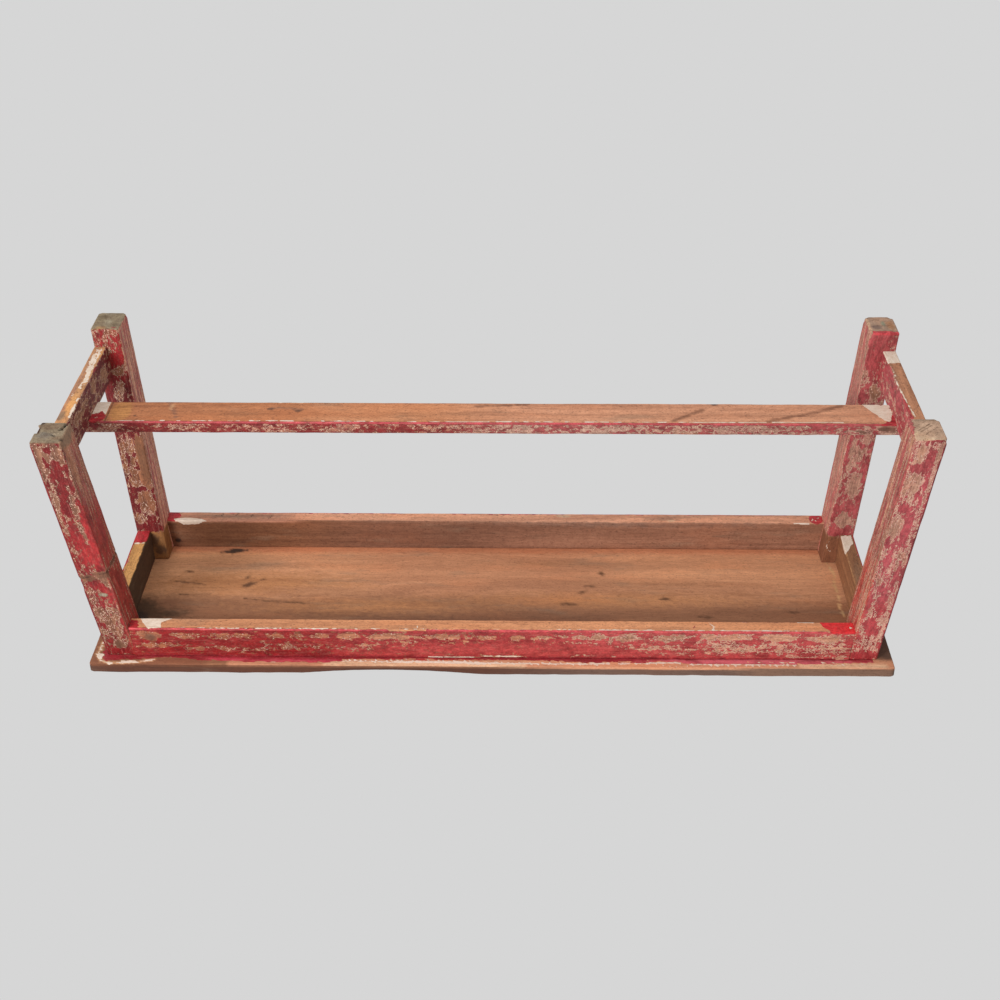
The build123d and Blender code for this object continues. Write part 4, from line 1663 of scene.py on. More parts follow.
@dataclass
class Undercarriage:
    """The two rungs and the long stretcher.

    Attributes:
        rung_heights: The heights of the rungs' lower and upper edges.
        rung_thickness: How thick they are.
        stretcher_low: The stretcher's lowest corner.
        stretcher_high: Its highest corner.
    """

    rung_heights: Spot = (29.0, 77.5)
    rung_thickness: float = 19.5
    stretcher_low: Point = (-615.5, -18.0, 71.5)
    stretcher_high: Point = (615.5, 42.0, 90.1)

    def boards(self) -> list[Board]:
        """Describe the rungs and the stretcher."""
        return [self.left(), self.right(), self.stretcher()]

    def rung_ends(self, side_x: int) -> tuple[tuple[Point, ...], tuple[Point, ...]]:
        """Give the end sections of the left or right rung."""
        return cross_ends(side_x, FRAME.leg_x, self.rung_thickness, self.rung_heights)

    def left(self) -> Board:
        """Describe the left rung.

        Returns:
            The board.
        """
        _, edge, inner, _ = covered(
            OTHER_BAR, flaked(0.6), bare(202, 144, 112),
            flaked(0.66, (176, 74, 78), (194, 136, 122), primer=0.15), flaked(0.6),
        )
        edge.strokes(daub(2, 170, 60, 62), 4, ((50, 1), (104, 0)))
        edge.strokes(WHITE, 1.8, ((55, 5.5), (100, 2.4), (132, 1.6), (214, 2.2)), ragged=1)
        edge.strokes(CRUMBS, 2, ((130, 1.5), (214, 2)), ragged=1.2)
        edge.patch(WHITE, (214, -1), (270, -1), (270, 12), (244, 21), (214, 21), ragged=1.2, wrap=2)
        inner.blots(HELD, (122, 14, 14, 14), (124, 42, 14, 8), (60, 20, 14, 8), ragged=3)
        inner.strokes(CRUMBS, 2.4, ((50, 24), (90, 22)), ((140, 30), (200, 26)), ((60, 36), (110, 34)),
            ragged=1.6, soft=3)
        return Board("worn_left_rung", ("left_rung",), *self.rung_ends(-1), spacing=1.7, arris=1.6,
            seed=15, rub=0.25, look=edge.look)

    def right(self) -> Board:
        """Describe the right rung.

        Returns:
            The board.
        """
        _, edge, inner, _ = covered(
            OTHER_BAR, flaked(0.6), bare(206, 154, 110),
            flaked(0.56, (108, 26, 28), (164, 120, 96), primer=0.1), flaked(0.6),
        )
        edge.strokes(stain_and_shade(178, 132, 108), 7, ((56, 17), (150, 15), (276, 12)), ragged=3, soft=6)
        edge.blots(stain_and_shade(226, 170, 112), (95, 9, 30, 6), (248, 6, 14, 5), ragged=3, soft=8)
        edge.blots(stain_and_shade(150, 124, 102), (62, 14, 12, 5), soft=6)
        edge.blots(Coat(primer=0.54), (165, 6, 34, 5), (222, 9, 54, 7), (75, 3, 18, 3), (125, 14, 12, 3),
            ragged=3, soft=7)
        edge.strokes(Coat(primer=1), 2.2, ((136, 12), (176, 7), (225, 6), (276, 5)),
            ((165, 4), (212, 11), (250, 13)), ((60, 2), (120, 3)), ((258, 2), (268, 16)), ragged=2.6,
            soft=4)
        edge.blots(daub(2, 140, 34, 40), (201, 0, 10, 2.2), (284, 10, 8, 12), ragged=0.9, soft=2)
        inner.blots(worn(170, 126, 102), (75, 16, 9, 6), (178, 16, 14, 8), (235, 26, 16, 12),
            (110, 18, 20, 7), ragged=3)
        return Board("worn_right_rung", ("right_rung",), *self.rung_ends(1), spacing=1.7, arris=1.6,
            seed=16, rub=0.25, look=edge.look)

    def stretcher(self) -> Board:
        """Describe the long stretcher.

        Returns:
            The board.
        """
        front, edge, top = covered(
            (Face.A_LOW, Face.B_LOW, Face.B_HIGH),
            flaked(0.44, (158, 74, 74), (193, 155, 141), primer=0.12), bare(223, 162, 131), flaked(0.45),
        )
        dark = stain_and_shade(164, 114, 90)
        knot = stain_and_shade(118, 84, 68)
        low_x, low_y, _ = self.stretcher_low
        spots = [(x - low_x, y - low_y) for group in NAILS.stretcher().values() for x, y in group]
        edge.tone(640, 1240, stain_and_shade(210, 146, 108), 200)
        edge.tone(880, 1240, stain_and_shade(196, 130, 92), 120)
        front.tone(640, 1240, Coat(paint=0.54, red=(126, 30, 30), wood=(164, 106, 88)), 200)
        edge.strokes(dark, 7, ((205, 8), (150, 28), (88, 56)), ((345, 10), (300, 40)), ragged=3.5,
            soft=6)
        edge.strokes(dark, 5, ((640, 50), (560, 56)), ((900, 38), (945, 44)), ragged=3, soft=5)
        edge.blots(knot, (281, 57, 5, 3), (947, 40, 5, 3), (905, 34, 6, 3), (1148, 18, 2, 2), ragged=1.2,
            soft=2.5)
        edge.strokes(daub(2, 190, 74, 80), 2.6, ((35, 0.8), (600, 0.8)), ((600, 0.8), (1195, 0.6)),
            ragged=1.0)
        edge.strokes(WHITE, 2, ((95, 5.4), (200, 5.4)), ((205, 4.6), (620, 4.2)),
            ((620, 3.6), (740, 3.2)), ((790, 4.2), (1090, 4.4), (1188, 3)), ragged=1, soft=2)
        edge.patch(daub(2.2, 186, 44, 54), (-4, 62), (-4, -2), (44, -2), (30, 8), (24, 24), (14, 44),
            (12, 62), ragged=1.5, soft=2, wrap=2)
        edge.patch(WHITE, (26, 7), (34, 12), (60, 62), (16, 62), (15, 40), ragged=1.2, wrap=2)
        edge.blots(HELD, (18, 50, 3, 4), (29, 59, 6, 2), ragged=1.2, soft=2)
        edge.strokes(dark, 5, ((1086, 14), (1094, 36), (1104, 58)), ragged=3, soft=6)
        edge.blots(stain_and_shade(222, 172, 132), (1098, 46, 3, 8))
        edge.blots(stain_and_shade(206, 146, 92), (1172, 30, 16, 30), ragged=3, soft=8)
        edge.strokes(bare(104, 70, 54), 1.6, ((1190, 2), (1190, 60)), ragged=0.6)
        edge.patch(WHITE, (1192, 22), (1233, 22), (1233, 62), (1192, 62), ragged=0.8, wrap=2)
        edge.blots(daub(2.2, 170, 28, 36), (1204, 12, 13, 13), (1200, 24, 4, 6), ragged=2.4, soft=1.5)
        edge.strokes(WHITE, 1, ((1202, 14), (1208, 10), (1212, 14)), ragged=0.6, soft=1)
        edge.strokes(WHITE, 1, ((900, 59), (970, 59)), ((90, 59), (120, 59)))
        front.blots(Coat(paint=0.54, red=(172, 76, 78), wood=(206, 168, 152)), (90, 9, 60, 10), ragged=5,
            soft=8)
        front.blots(worn(130, 92, 80), (28, 8, 18, 5), (66, 13, 12, 4), ragged=3)
        top.blots(Coat(paint=0.1, wood=(82, 54, 40)), *((*spot, 6.5, 6) for spot in spots), ragged=1.6)
        top.pits(*((*spot, 5.4, 5.4, 4, 0.8) for spot in spots), ragged=0.4, soft=2)
        ends = box_corners(self.stretcher_low, self.stretcher_high)
        return Board("worn_stretcher", ("stretcher",), *ends, spacing=2, arris=1.6, seed=17, rub=0.15,
            look=edge.look)


@dataclass
class SeatBoard(Board):
    """A board with corners that are also rounded in plan, and a wane on its front edge.

    Attributes:
        corner: The radius of its corners in plan.
        wane_middle: The distance from the bench's middle to the wane's, along the board.
        wane_length: How long the wane is.
        wane_drop: How far down the edge it comes, at its middle.
        wane_reach: How far in over the top it comes, at its middle.
    """

    corner: float = 7.0
    wane_middle: float = 155.0
    wane_length: float = 300.0
    wane_drop: float = 9.0
    wane_reach: float = 14.0

    def skin(self) -> Skin:
        """Make the board's closed skin, with its corners and its wane cut.

        Returns:
            The skin, with no coat yet.
        """
        skin = super().skin()
        length, width, _ = skin.size
        out_x = skin.points[:, 0] - np.sign(skin.points[:, 0]) * (length / 2 - self.corner)
        out_y = skin.points[:, 1] - np.sign(skin.points[:, 1]) * (width / 2 - self.corner)
        square = np.maximum(abs(out_x), abs(out_y))
        round_ = np.maximum(np.hypot(out_x, out_y), 1e-9)
        beyond = (out_x * skin.points[:, 0] > 0) & (out_y * skin.points[:, 1] > 0)
        pull = np.where(beyond, square / round_ - 1, 0.0)
        skin.points[:, 0] += out_x * pull
        skin.points[:, 1] += out_y * pull
        self.cut_wane(skin)
        return skin

    def cut_wane(self, skin: Skin) -> None:
        """Press the points inside a very large cylinder out onto its side.

        Args:
            skin: The board's skin.
        """
        slope = math.hypot(self.wane_drop, self.wane_reach)
        radius = (self.wane_length / 2) ** 2 / (2 * self.wane_drop * self.wane_reach / slope)
        outward = np.array([0.0, -self.wane_drop, self.wane_reach]) / slope
        front = min(corner[1] for corner in self.start)
        middle = np.array(
            [self.wane_middle, front + self.wane_reach / 2, FRAME.seat_top - self.wane_drop / 2]
        )
        away = skin.points - (middle + outward * radius)
        in_plane = np.stack([away[:, 0], away @ outward], axis=1)
        distance = np.linalg.norm(in_plane, axis=1)
        push = np.clip(radius - distance, 0.0, None) / np.maximum(distance, 1e-9)
        skin.points[:, 0] += in_plane[:, 0] * push
        skin.points += outward * (in_plane[:, 1] * push)[:, None]


@dataclass
class Seat:
    """The seat board.

    Attributes:
        low: The board's lowest corner.
        high: Its highest corner.
    """

    low: Point = (-610.0, -178.0, 404.0)
    high: Point = (610.0, 178.0, 420.0)

    def board(self) -> Board:
        """Describe the seat board.

        Returns:
            The board.
        """
        faces = (Face.B_HIGH, Face.A_LOW, Face.A_HIGH, Face.START, Face.END, Face.B_LOW)
        top, edge, _, _, _, under = covered(
            faces, Coat(-1.5, -1, 0, BRICK, (150, 108, 82)), bare(114, 88, 78), bare(114, 88, 78),
            bare(98, 76, 66), bare(98, 70, 56), bare(226, 166, 128),
        )
        knot = stain_and_shade(76, 60, 52)
        spot = stain_and_shade(106, 72, 52)
        check = stain_and_shade(112, 78, 56)
        # The colour of a painted shadow beside the right end apron
        right_end_shadow = stain_and_shade(96, 70, 50)
        glue = stain_and_shade(228, 186, 138)
        red = daub(2.2, 153, 37, 46)
        pink = daub(1.6, 196, 66, 82)
        combed = tuple((((u, 5.5), (u + 2.5, 13.6)) for u in range(430, 640, 9)))
        combed += tuple((((u, 0.03 * u - 10.5), (u + 2.5, 0.03 * u - 3.5)) for u in range(640, 864, 8)))
        combed += tuple((((u, 3.0), (u + 3.0, 14.0)) for u in range(150, 372, 9)))
        under.tone(430, 820, stain_and_shade(214, 154, 119), 160)
        under.tone(1000, 1240, stain_and_shade(222, 166, 126), 120)
        # Painted shadow: the underside is coloured darker along the front apron, most of all in the
        # middle, where the apron's shadow falls
        under.patch(stain_and_shade(164, 116, 88), (-20, -20), (1240, -20), (1240, 178), (-20, 178), ragged=10,
            soft=56)
        under.patch(stain_and_shade(136, 94, 74), (430, -20), (820, -20), (820, 120), (430, 120), ragged=10,
            soft=60)
        under.strokes(stain_and_shade(212, 142, 106), 22, ((60, 310), (1160, 308)), ragged=4, soft=14)
        under.blots(stain_and_shade(202, 143, 100), (1010, 210, 150, 26), (820, 150, 120, 14), (420, 170, 160, 14),
            ragged=10, soft=40)
        under.blots(stain_and_shade(206, 150, 114), (1010, 258, 90, 7), (520, 268, 60, 5), (880, 190, 60, 8),
            (330, 212, 90, 6), ragged=6, soft=16)
        # Painted shadow: dark soft blots beside the right end apron, near the front corner, where that
        # apron's shadow falls on the underside
        under.blots(right_end_shadow, (1172, 130, 30, 38), (1136, 126, 36, 14), ragged=8, soft=26)
        under.blots(stain_and_shade(64, 48, 40), (1178, 116, 22, 20), ragged=6, soft=18)
        under.blots(knot, (1050, 300, 9, 7), (1040, 303, 12, 4), (1060, 297, 8, 4), ragged=4)
        under.blots(spot, (334, 172, 9, 3), (490, 158, 12, 3), (432, 241, 7, 4, 40), (450, 206, 7, 2.5),
            (464, 191, 6, 2.5, -30), (1008, 206, 12, 5, -30), (1013, 226, 6, 3, -50), (134, 140, 8, 2.5),
            (272, 126, 9, 3), (1112, 240, 5, 2.5), ragged=2.4, soft=6)
        under.strokes(check, 2, ((905, 156), (960, 160), (1010, 168)), ((1080, 206), (1140, 216)),
            ((985, 222), (1004, 206), (1016, 196)), ((1090, 176), (1116, 178)), ragged=1.8, soft=3.5)
        under.tone(-10, 40, stain_and_shade(196, 142, 108), 20)
        under.patch(stain_and_shade(222, 160, 128), (-5, -5), (1010, -5), (1010, 24), (-5, 24), soft=6, wrap=4)
        under.patch(stain_and_shade(152, 102, 78), (1040, -5), (1225, -5), (1225, 110), (1190, 110), (1150, 24),
            (1040, 24), ragged=4, soft=20, wrap=4)
        under.patch(stain_and_shade(112, 84, 70), (-5, 24), (24, 24), (24, 340), (-5, 340), ragged=3, soft=10,
            wrap=4)
        under.patch(red, (30, 30), (30, 16), (110, 16), (230, 15), (240, 12), (300, 12), (322, 18),
            (372, 18), (385, 13), (480, 12), (500, 15), (600, 17), (700, 18), (830, 17), (850, 12),
            (900, 9), (990, 9), (1060, 13), (1100, 19), (1150, 13), (1194, 9), (1204, 16), (1204, 64),
            (1180, 64), (1180, 26), (1100, 26), ragged=2.2, soft=3, wrap=2)
        under.blots(Coat(paint=0.55), (380, 14, 60, 4), (700, 16, 90, 3), (120, 17, 60, 3), soft=4)
        under.blots(pink, (930, 12, 60, 3), (870, 12, 30, 3), (1010, 14, 30, 3), (300, 14, 20, 3), soft=4)
        under.blots(daub(1.9, 214, 106, 116), (200, 16, 150, 6))
        under.blots(Coat(primer=0.75), (1012, 12, 14, 2.5), (950, 8, 30, 2), ragged=1.6, soft=3)
        under.strokes(WHITE, 1.6, ((150, 14), (220, 14)), ((600, 8), (700, 9), (756, 11)),
            ((30, 14), (60, 12), (110, 15)), ragged=1.2, soft=2)
        under.strokes(WHITE, 3.8, ((318, 13), (372, 12)), ((430, 8.5), (600, 9), (700, 11.5)), ragged=1.8,
            soft=3)
        under.strokes(Coat(primer=0.6), 7.6, ((150, 9), (310, 9)), ((372, 10), (460, 10)),
            ((620, 9), (740, 11), (860, 12)), ragged=2.4, soft=5)
        under.strokes(stain_and_shade(250, 210, 176), 10, ((16, 8), (140, 8)), ((560, 5), (860, 7)), ragged=2.4,
            soft=7)
        under.strokes(Coat(primer=0.56), 5, ((30, 13), (96, 8), (130, 10)), ragged=2.6, soft=6)
        under.strokes(WHITE, 2.4, ((600, 9), (690, 11), (756, 13)), ragged=2, soft=3)
        under.strokes(Coat(primer=0.95), 2, *combed, ragged=1.1, soft=2.2)
        under.strokes(Coat(paint=-1.5, primer=0.74, wood=(224, 176, 136)), 5.6,
            ((1122, 14), (1146, 6), (1186, 4), (1204, 8), (1212, 24), (1209, 56)), ragged=3, soft=2.5)
        under.blots(WHITE, (1206, 20, 4, 9), (1160, 7, 9, 2), ragged=2.2, soft=2.5)
        under.strokes(glue, 2.4, ((62, 284), (55, 262), (51, 240), (57, 214), (54, 188), (58, 160),
            (55, 128)), ragged=2.6, soft=2.5)
        under.strokes(glue, 3.6, ((56, 262), (52, 246)), ((57, 212), (55, 198)), ragged=2.4, soft=3)
        under.strokes(WHITE, 1.3, ((58, 274), (53, 252), (52, 238)), ragged=1.8, soft=2)
        edge.tone(-10, 230, stain_and_shade(136, 104, 88), 60, 1.5)
        edge.tone(560, 1240, stain_and_shade(88, 45, 24), 300, 1.5)
        top.blots(stain_and_shade(122, 84, 62), (360, 120, 150, 26), (820, 230, 180, 30), (1080, 90, 80, 24),
            (150, 260, 90, 30), ragged=9, soft=40)
        top.blots(stain_and_shade(166, 124, 96), (610, 180, 240, 70), ragged=12, soft=60)
        top.blots(knot, (418, 232, 8, 5), (930, 118, 6, 4), ragged=2.4)
        top.strokes(check, 1.6, ((60, 210), (160, 214), (240, 209)), ((980, 286), (1120, 292)),
            ((540, 64), (640, 60)), ragged=1.6, soft=3)
        nails = [(x - self.low[0], y - self.low[1]) for x, y in NAILS.seat_spots()]
        top.blots(stain_and_shade(82, 54, 40), *((*nail, 7, 6.5) for nail in nails), ragged=1.6, soft=6)
        top.pits(*((*nail, 5.6, 5.6, 4, 0.9) for nail in nails), ragged=0.4, soft=2.5)
        ends = box_corners(self.low, self.high)
        return SeatBoard("worn_seat", ("seat_board",), *ends, spacing=3.3, arris=(2.2, 2.2, 4, 4),
            end_arris=2.4, wear=0.35, seed=9, rub=0.0, look=top.look)


@dataclass
class Stage:
    """The floor, the lamps, the world and the camera round the bench.

    Attributes:
        backdrop: The plain colour behind everything.
        ambient: How bright the even light from all round is.
        floor_size: The length of the floor's sides, in metres.
        eye: Where the camera is, in millimetres.
        pitch: How far the camera looks down before it is turned over, in radians.
        yaw: How far it is turned to the side, in radians.
        roll: How far it is tilted, in radians.
        focal: Its focal length in shares of the picture's width.
    """

    backdrop: Colour = srgb(214, 214, 214)
    ambient: float = 0.5
    floor_size: float = 60.0
    eye: Point = (-49.74, -1934.0, -1046.1)
    pitch: float = -0.5792
    yaw: float = -0.0193
    roll: float = -0.0058
    focal: float = 1.49892

    def build(self) -> None:
        """Set up everything round the bench."""
        self.world()
        self.floor()
        self.lamp("key_lamp", (1412, -2000, -846), 900, 56)
        self.lamp("overhead_lamp", (300, -400, -2400), 2000, 17)
        self.lamp("upper_lamp", (-500, -900, 3000), 2000, 32)
        self.camera()
        bpy.context.scene.view_settings.view_transform = "Standard"

    def world(self) -> None:
        """Light the bench evenly and show the backdrop's plain colour behind it."""
        weave = Weave(bpy.data.worlds.new("studio"))
        seen = weave.add("ShaderNodeBackground", {}, {"Color": self.backdrop})
        lit = weave.add("ShaderNodeBackground", {}, {"Color": (1.0, 1.0, 1.0), "Strength": self.ambient})
        rays = weave.add("ShaderNodeLightPath", {}, {}, "Is Camera Ray")
        shown = weave.add("ShaderNodeMixShader", {}, {0: rays, 1: lit, 2: seen})
        weave.add("ShaderNodeOutputWorld", {}, {"Surface": shown})
        bpy.context.scene.world = weave.owner

    def floor(self) -> None:
        """Lay a pale floor that is seen from above only and keeps no light from below."""
        half = self.floor_size / 2
        mesh = bpy.data.meshes.new("floor")
        corners = [(-half, -half, 0), (half, -half, 0), (half, half, 0), (-half, half, 0)]
        mesh.from_pydata(corners, [], [(0, 1, 2, 3)])
        floor = put("floor", mesh)
        weave = Weave(bpy.data.materials.new("pale_floor"))
        matt = weave.add("ShaderNodeBsdfDiffuse", {}, {"Color": srgb(206, 206, 206)}, "BSDF")
        clear = weave.add("ShaderNodeBsdfTransparent", {}, {}, "BSDF")
        back = weave.add("ShaderNodeNewGeometry", {}, {}, "Backfacing")
        shader = weave.add("ShaderNodeMixShader", {}, {0: back, 1: matt, 2: clear})
        weave.add("ShaderNodeOutputMaterial", {}, {"Surface": shader})
        mesh.materials.append(weave.owner)
        for ray in ("diffuse", "glossy", "transmission", "shadow"):
            setattr(floor, f"visible_{ray}", False)

    def lamp(self, name: str, place: Point, size: float, power: float) -> None:
        """Hang a soft lamp that shines at the middle of the bench.

        Args:
            name: The lamp's name.
            place: Where it hangs, in millimetres.
            size: The length of its sides, in millimetres.
            power: Its power in watts.
        """
        light = bpy.data.lights.new(name, "AREA")
        light.size = size * MM
        light.energy = power
        lamp = put(name, light)
        lamp.location = Vector(place) * MM
        towards = Vector((0, 0, 0.2)) - lamp.location
        lamp.rotation_euler = towards.to_track_quat("-Z", "Y").to_euler()

    def camera(self) -> None:
        """Place the camera below the floor, turned over, so that the bench is seen upturned."""
        sin, cos = math.sin, math.cos
        ahead = (sin(self.yaw) * cos(self.pitch), cos(self.yaw) * cos(self.pitch), sin(self.pitch))
        look = Vector(ahead)
        level = Vector((cos(self.yaw), -sin(self.yaw), 0.0))
        upright = level.cross(look)
        right = level * cos(self.roll) + upright * sin(self.roll)
        up = upright * cos(self.roll) - level * sin(self.roll)
        turned_over = Matrix.Rotation(math.pi, 3, "Y")
        axes = [turned_over @ axis for axis in (right, up, -look)]
        data = bpy.data.cameras.new("camera")
        data.sensor_width = 36.0
        data.lens = self.focal * data.sensor_width
        data.clip_end = 100.0
        camera = put("camera", data)
        matrix = Matrix([list(axis) for axis in axes]).transposed().to_4x4()
        matrix.translation = Vector(self.eye) * MM
        camera.matrix_world = matrix
        bpy.context.scene.camera = camera


@dataclass(frozen=True)
class Pin:
    """The sizes of a turned pin, such as a peg or a nail, in millimetres.

    Attributes:
        head: The width of its head.
        rim: How deep the head keeps that width.
        neck: The depth at which the head has run out into the shank.
        shank: The width of the shank there.
        tip: The width of its tip.
        length: How long it is.
        crown: How far the middle of the head rises above its rim.
    """

    head: float = 8.0
    rim: float = 0.8
    neck: float = 2.6
    shank: float = 3.6
    tip: float = 1.2
    length: float = 52.0
    crown: float = 0.2


class PinTree(Weave):
    """Geometry nodes that set a turned pin at each point of a mesh.

    Each point's own aim says which way its pin's head looks.
    """

    SIDES = 24
    RINGS = 36

    def __init__(self) -> None:
        """Build the nodes."""
        self.tree = bpy.data.node_groups.new("turned_pins", "GeometryNodeTree")
        sockets = self.tree.interface
        sockets.new_socket("Geometry", in_out="OUTPUT", socket_type="NodeSocketGeometry")
        sockets.new_socket("Geometry", in_out="INPUT", socket_type="NodeSocketGeometry")
        for size in fields(Pin):
            sockets.new_socket(size.name, in_out="INPUT", socket_type="NodeSocketFloat")
        sockets.new_socket("Material", in_out="INPUT", socket_type="NodeSocketMaterial")
        aim = self.add("GeometryNodeInputNamedAttribute", {"data_type": "FLOAT_VECTOR"}, {"Name": "aim"})
        turn = self.add("FunctionNodeAlignRotationToVector", {"axis": "Z"}, {"Vector": aim})
        inputs = {"Points": self.given("Geometry"), "Instance": self.pin(), "Rotation": turn}
        placed = self.add("GeometryNodeInstanceOnPoints", {}, inputs)
        real = self.add("GeometryNodeRealizeInstances", {}, {"Geometry": placed})
        inputs = {"Geometry": real, "Material": self.given("Material")}
        self.add("NodeGroupOutput", {}, {"Geometry": self.add("GeometryNodeSetMaterial", {}, inputs)})

    def given(self, name: str) -> Signal:
        """Read one of the tree's own inputs."""
        return self.add("NodeGroupInput", {}, {}, name)

    def pin(self) -> Signal:
        """Turn one pin, with the rim of its head at the origin and its tip below it.

        Returns:
            The pin, as geometry.
        """
        inputs = {"Vertices": self.SIDES, "Side Segments": self.RINGS, "Fill Segments": 4, "Radius": 1.0}
        fans = {"fill_type": "TRIANGLE_FAN"}
        rod = self.add("GeometryNodeMeshCylinder", fans, {**inputs, "Depth": 1.0})
        place = self.add("GeometryNodeInputPosition")
        x, y, z = (self.add("ShaderNodeSeparateXYZ", {}, {0: place}, axis) for axis in "XYZ")
        down = 0.5 - z
        deep = down * down * self.given("length")
        head, shank, tip = (self.given(name) * 0.5 for name in ("head", "shank", "tip"))
        neck = self.given("neck")
        radius = head + (shank - head) * deep.ease(self.given("rim"), neck)
        radius = radius + (tip - shank) * deep.ease(neck, self.given("length"))
        crown = self.given("crown") * (1 - x * x - y * y) * (1 - down)
        inputs = {0: x * radius, 1: y * radius, 2: crown - deep}
        turned = self.add("ShaderNodeCombineXYZ", {}, inputs)
        return self.add("GeometryNodeSetPosition", {}, {"Geometry": rod, "Position": turned})

    def grow(
        self, pin: Pin, spots: Sequence[tuple[Point, Point]], material: bpy.types.Material
    ) -> bpy.types.Mesh:
        """Set pins at some spots and turn them into one plain mesh.

        Args:
            pin: The sizes of the pins.
            spots: For each pin, where its head is, in millimetres, and which way it looks.
            material: The pins' material.

        Returns:
            The mesh, in metres.
        """
        mesh = bpy.data.meshes.new("pin_spots")
        mesh.from_pydata([tuple(part * MM for part in place) for place, _ in spots], [], [])
        aims = mesh.attributes.new("aim", "FLOAT_VECTOR", "POINT")
        for item, (_, aim) in zip(aims.data, spots):
            item.vector = aim
        holder = put("pin_spots", mesh)
        modifier = holder.modifiers.new("pins", "NODES")
        modifier.node_group = self.tree
        for socket in self.tree.interface.items_tree:
            if socket.in_out == "INPUT" and hasattr(pin, socket.name):
                modifier[socket.identifier] = getattr(pin, socket.name) * MM
            elif socket.name == "Material":
                modifier[socket.identifier] = material
        whole = holder.evaluated_get(bpy.context.evaluated_depsgraph_get())
        grown = bpy.data.meshes.new_from_object(whole)
        holder.modifiers.remove(modifier)
        bpy.data.objects.remove(holder)
        return grown


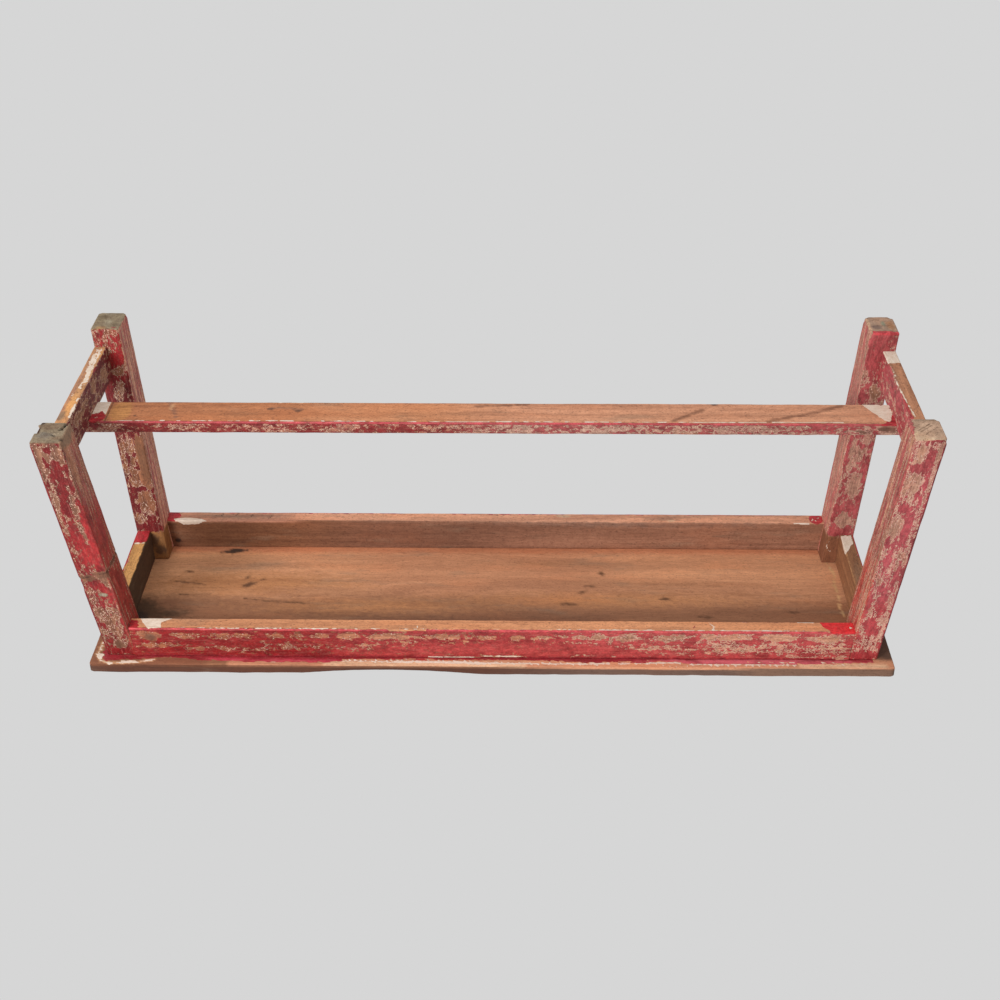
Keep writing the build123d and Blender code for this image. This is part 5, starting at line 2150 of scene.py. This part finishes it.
@dataclass
class Fastenings:
    """The pegs through the tenons and the nails through the seat and the stretcher.

    Attributes:
        tree: The nodes that make them.
        peg: The sizes of the pegs.
        nail: The sizes of the nails in the seat.
        bar_nail: The sizes of the nails in the stretcher.
        long_height: The height of the pegs in the long aprons' tenons.
        long_x: How far out those pegs are.
        end_height: The height of the pegs in the end aprons' tenons.
        end_in: How far those pegs are from the inner faces of the legs, at the seat.
        rung_height: The height of the pegs in the rungs' tenons.
        rung_in: How far those pegs are from the inner faces of the legs.
        proud: How far the pegs stand out.
        sunk: How far the rims of the nails' heads lie below the wood.
        rubbed: How much paint has rubbed off their ends.
    """

    tree: PinTree
    peg: Pin = Pin(head=7.8, rim=0.0, neck=0.6, shank=8.0, tip=7.4, length=34.0, crown=0.15)
    nail: Pin = Pin()
    bar_nail: Pin = Pin(length=41.6)
    long_height: float = 384.0
    long_x: float = 555.5
    end_height: float = 366.0
    end_in: float = 13.5
    rung_height: float = 53.25
    rung_in: float = 16.0
    proud: float = 0.35
    sunk: float = 0.25
    rubbed: float = 0.15

    def peg_place(self, kind: str, side_x: int, side_y: int, leg: Board) -> tuple[Point, Point]:
        """Give the place of a peg in the board of its leg, and the way its end looks.

        Args:
            kind: "long", "end" or "rung".
            side_x: -1 for a left leg and 1 for a right one.
            side_y: -1 for a front leg and 1 for a back one.
            leg: The leg's board.

        Returns:
            The place and the direction, both along, across a and across b.
        """
        height = {"long": self.long_height, "end": self.end_height, "rung": self.rung_height}[kind]
        along = height / FRAME.seat_under * leg.size()[0]
        if kind == "long":
            a = self.long_x - (FRAME.leg_x(height) - FRAME.leg_width)
            return (along, a, FRAME.leg_depth + self.proud), (0.0, 0.0, 1.0)
        spread = SPREADS[side_x, side_y]
        level, inset = Undercarriage.rung_heights[1], self.rung_in
        if kind == "end":
            level, inset = FRAME.seat_under, self.end_in
        b = FRAME.leg_y(spread, level) + inset - FRAME.leg_y(spread, height)
        return (along, FRAME.leg_width + self.proud, b), (0.0, 1.0, 0.0)

    def pegs(
        self, name: str, node: str, places: Sequence[tuple[Board, tuple[Point, Point]]],
        material: bpy.types.Material,
    ) -> bpy.types.Object:
        """Make the pegs of one node, each under the paint of its own leg.

        Args:
            name: The piece's name.
            node: The node that it stands for.
            places: For each peg, its leg's board and its place in that board.
            material: The pegs' material.

        Returns:
            The finished piece.
        """
        points: list[tuple[float, ...]] = []
        faces: list[tuple[int, ...]] = []
        shades: list[dict[str, np.ndarray]] = []
        for leg, place in places:
            grown = self.tree.grow(self.peg, [place], material)
            local = np.empty(len(grown.vertices) * 3, dtype=np.float32)
            grown.vertices.foreach_get("co", local)
            local = local.reshape(-1, 3).astype(float) / MM
            rings = [tuple(polygon.vertices) for polygon in grown.polygons]
            skin = Skin(leg.to_bench(local), local, leg.size(), rings)
            if signed_volume(skin.points, rings) < 0:
                rings = [ring[::-1] for ring in rings]
            leg.coat(skin)
            skin.shade["paint"] -= self.rubbed
            first = len(points)
            faces += [tuple(first + corner for corner in ring) for ring in rings]
            points += (skin.points * MM).tolist()
            shades.append(skin.shade)
        mesh = bpy.data.meshes.new(name)
        mesh.from_pydata(points, [], faces)
        write_shade(mesh, {key: np.concatenate([shade[key] for shade in shades]) for key in shades[0]})
        mesh.materials.append(material)
        return enter(name, mesh, (node,))

    def build(self, legs: dict[tuple[int, int], Board]) -> None:
        """Make all the pegs and nails.

        Args:
            legs: The legs' boards, by their sides.
        """
        wood = WornPaint(name="painted_peg_ends", rings=(90.0, 90.0), fibre=(700.0, 700.0)).build()
        iron = RustyIron().build()
        for kind, group in (("long", SIDE_Y), ("end", SIDE_X), ("rung", SIDE_X)):
            for side, name in group.items():
                sides = [pair for pair in SPREADS if pair[kind == "long"] == side]
                places = [(legs[pair], self.peg_place(kind, *pair, legs[pair])) for pair in sides]
                node = f"{name}_{'rung' if kind == 'rung' else 'apron'}_pegs"
                self.pegs(f"painted_{node}", node, places, wood)
        up = (0.0, 0.0, 1.0)
        rows = [("seat", self.nail, FRAME.seat_top, NAILS.seat())]
        rows += [("stretcher", self.bar_nail, Undercarriage.stretcher_high[2], NAILS.stretcher())]
        for board, pin, top, groups in rows:
            for name, spots in groups.items():
                node = f"{name}_{board}_nails"
                mesh = self.tree.grow(pin, [((x, y, top - self.sunk), up) for x, y in spots], iron)
                enter(f"rusty_{node}", mesh, (node,))


def put(name: str, data: bpy.types.Mesh | bpy.types.Light | bpy.types.Camera) -> bpy.types.Object:
    """Add an object to the scene.

    Args:
        name: The object's name.
        data: What it shows.

    Returns:
        The object.
    """
    thing = bpy.data.objects.new(name, data)
    bpy.context.scene.collection.objects.link(thing)
    return thing


def enter(name: str, mesh: bpy.types.Mesh, nodes: tuple[str, ...]) -> bpy.types.Object:
    """Put a finished mesh in the scene as a piece that stands for some nodes.

    Args:
        name: The piece's name.
        mesh: Its mesh, with its material.
        nodes: The nodes that it stands for.

    Returns:
        The piece.
    """
    mesh.name = name
    mesh.shade_smooth()
    piece = put(name, mesh)
    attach(piece, "root")
    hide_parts(*nodes)
    LOG.info("%s: %d faces", piece.name, len(mesh.polygons))
    return piece


def box_corners(low: Point, high: Point) -> tuple[tuple, tuple]:
    """Give the two end sections of a straight board along X.

    Args:
        low: The lowest corner.
        high: The highest corner.

    Returns:
        The four corners at the left end and the four at the right end.
    """
    section = ((low[1], low[2]), (high[1], low[2]), (high[1], high[2]), (low[1], high[2]))
    left = tuple((low[0], y, z) for y, z in section)
    right = tuple((high[0], y, z) for y, z in section)
    return left, right


def main() -> None:
    """Load the frame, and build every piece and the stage."""
    logging.basicConfig(level=logging.INFO)
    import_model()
    Stage().build()
    paint = WornPaint().build()
    seat_wood = WornPaint(
        name="aged_seat_wood", rings=(1.5, 34.0), sway=0.03, contrast=0.52, mottle=0.3, grime=0.3
    ).build()
    legs = Legs().boards()
    for board in (*legs.values(), *Aprons().boards(), *Undercarriage().boards()):
        board.build(paint, "painted_wood")
    Seat().board().build(seat_wood, "seat_wood")
    Fastenings(PinTree()).build(legs)


if __name__ == "__main__":
    main()
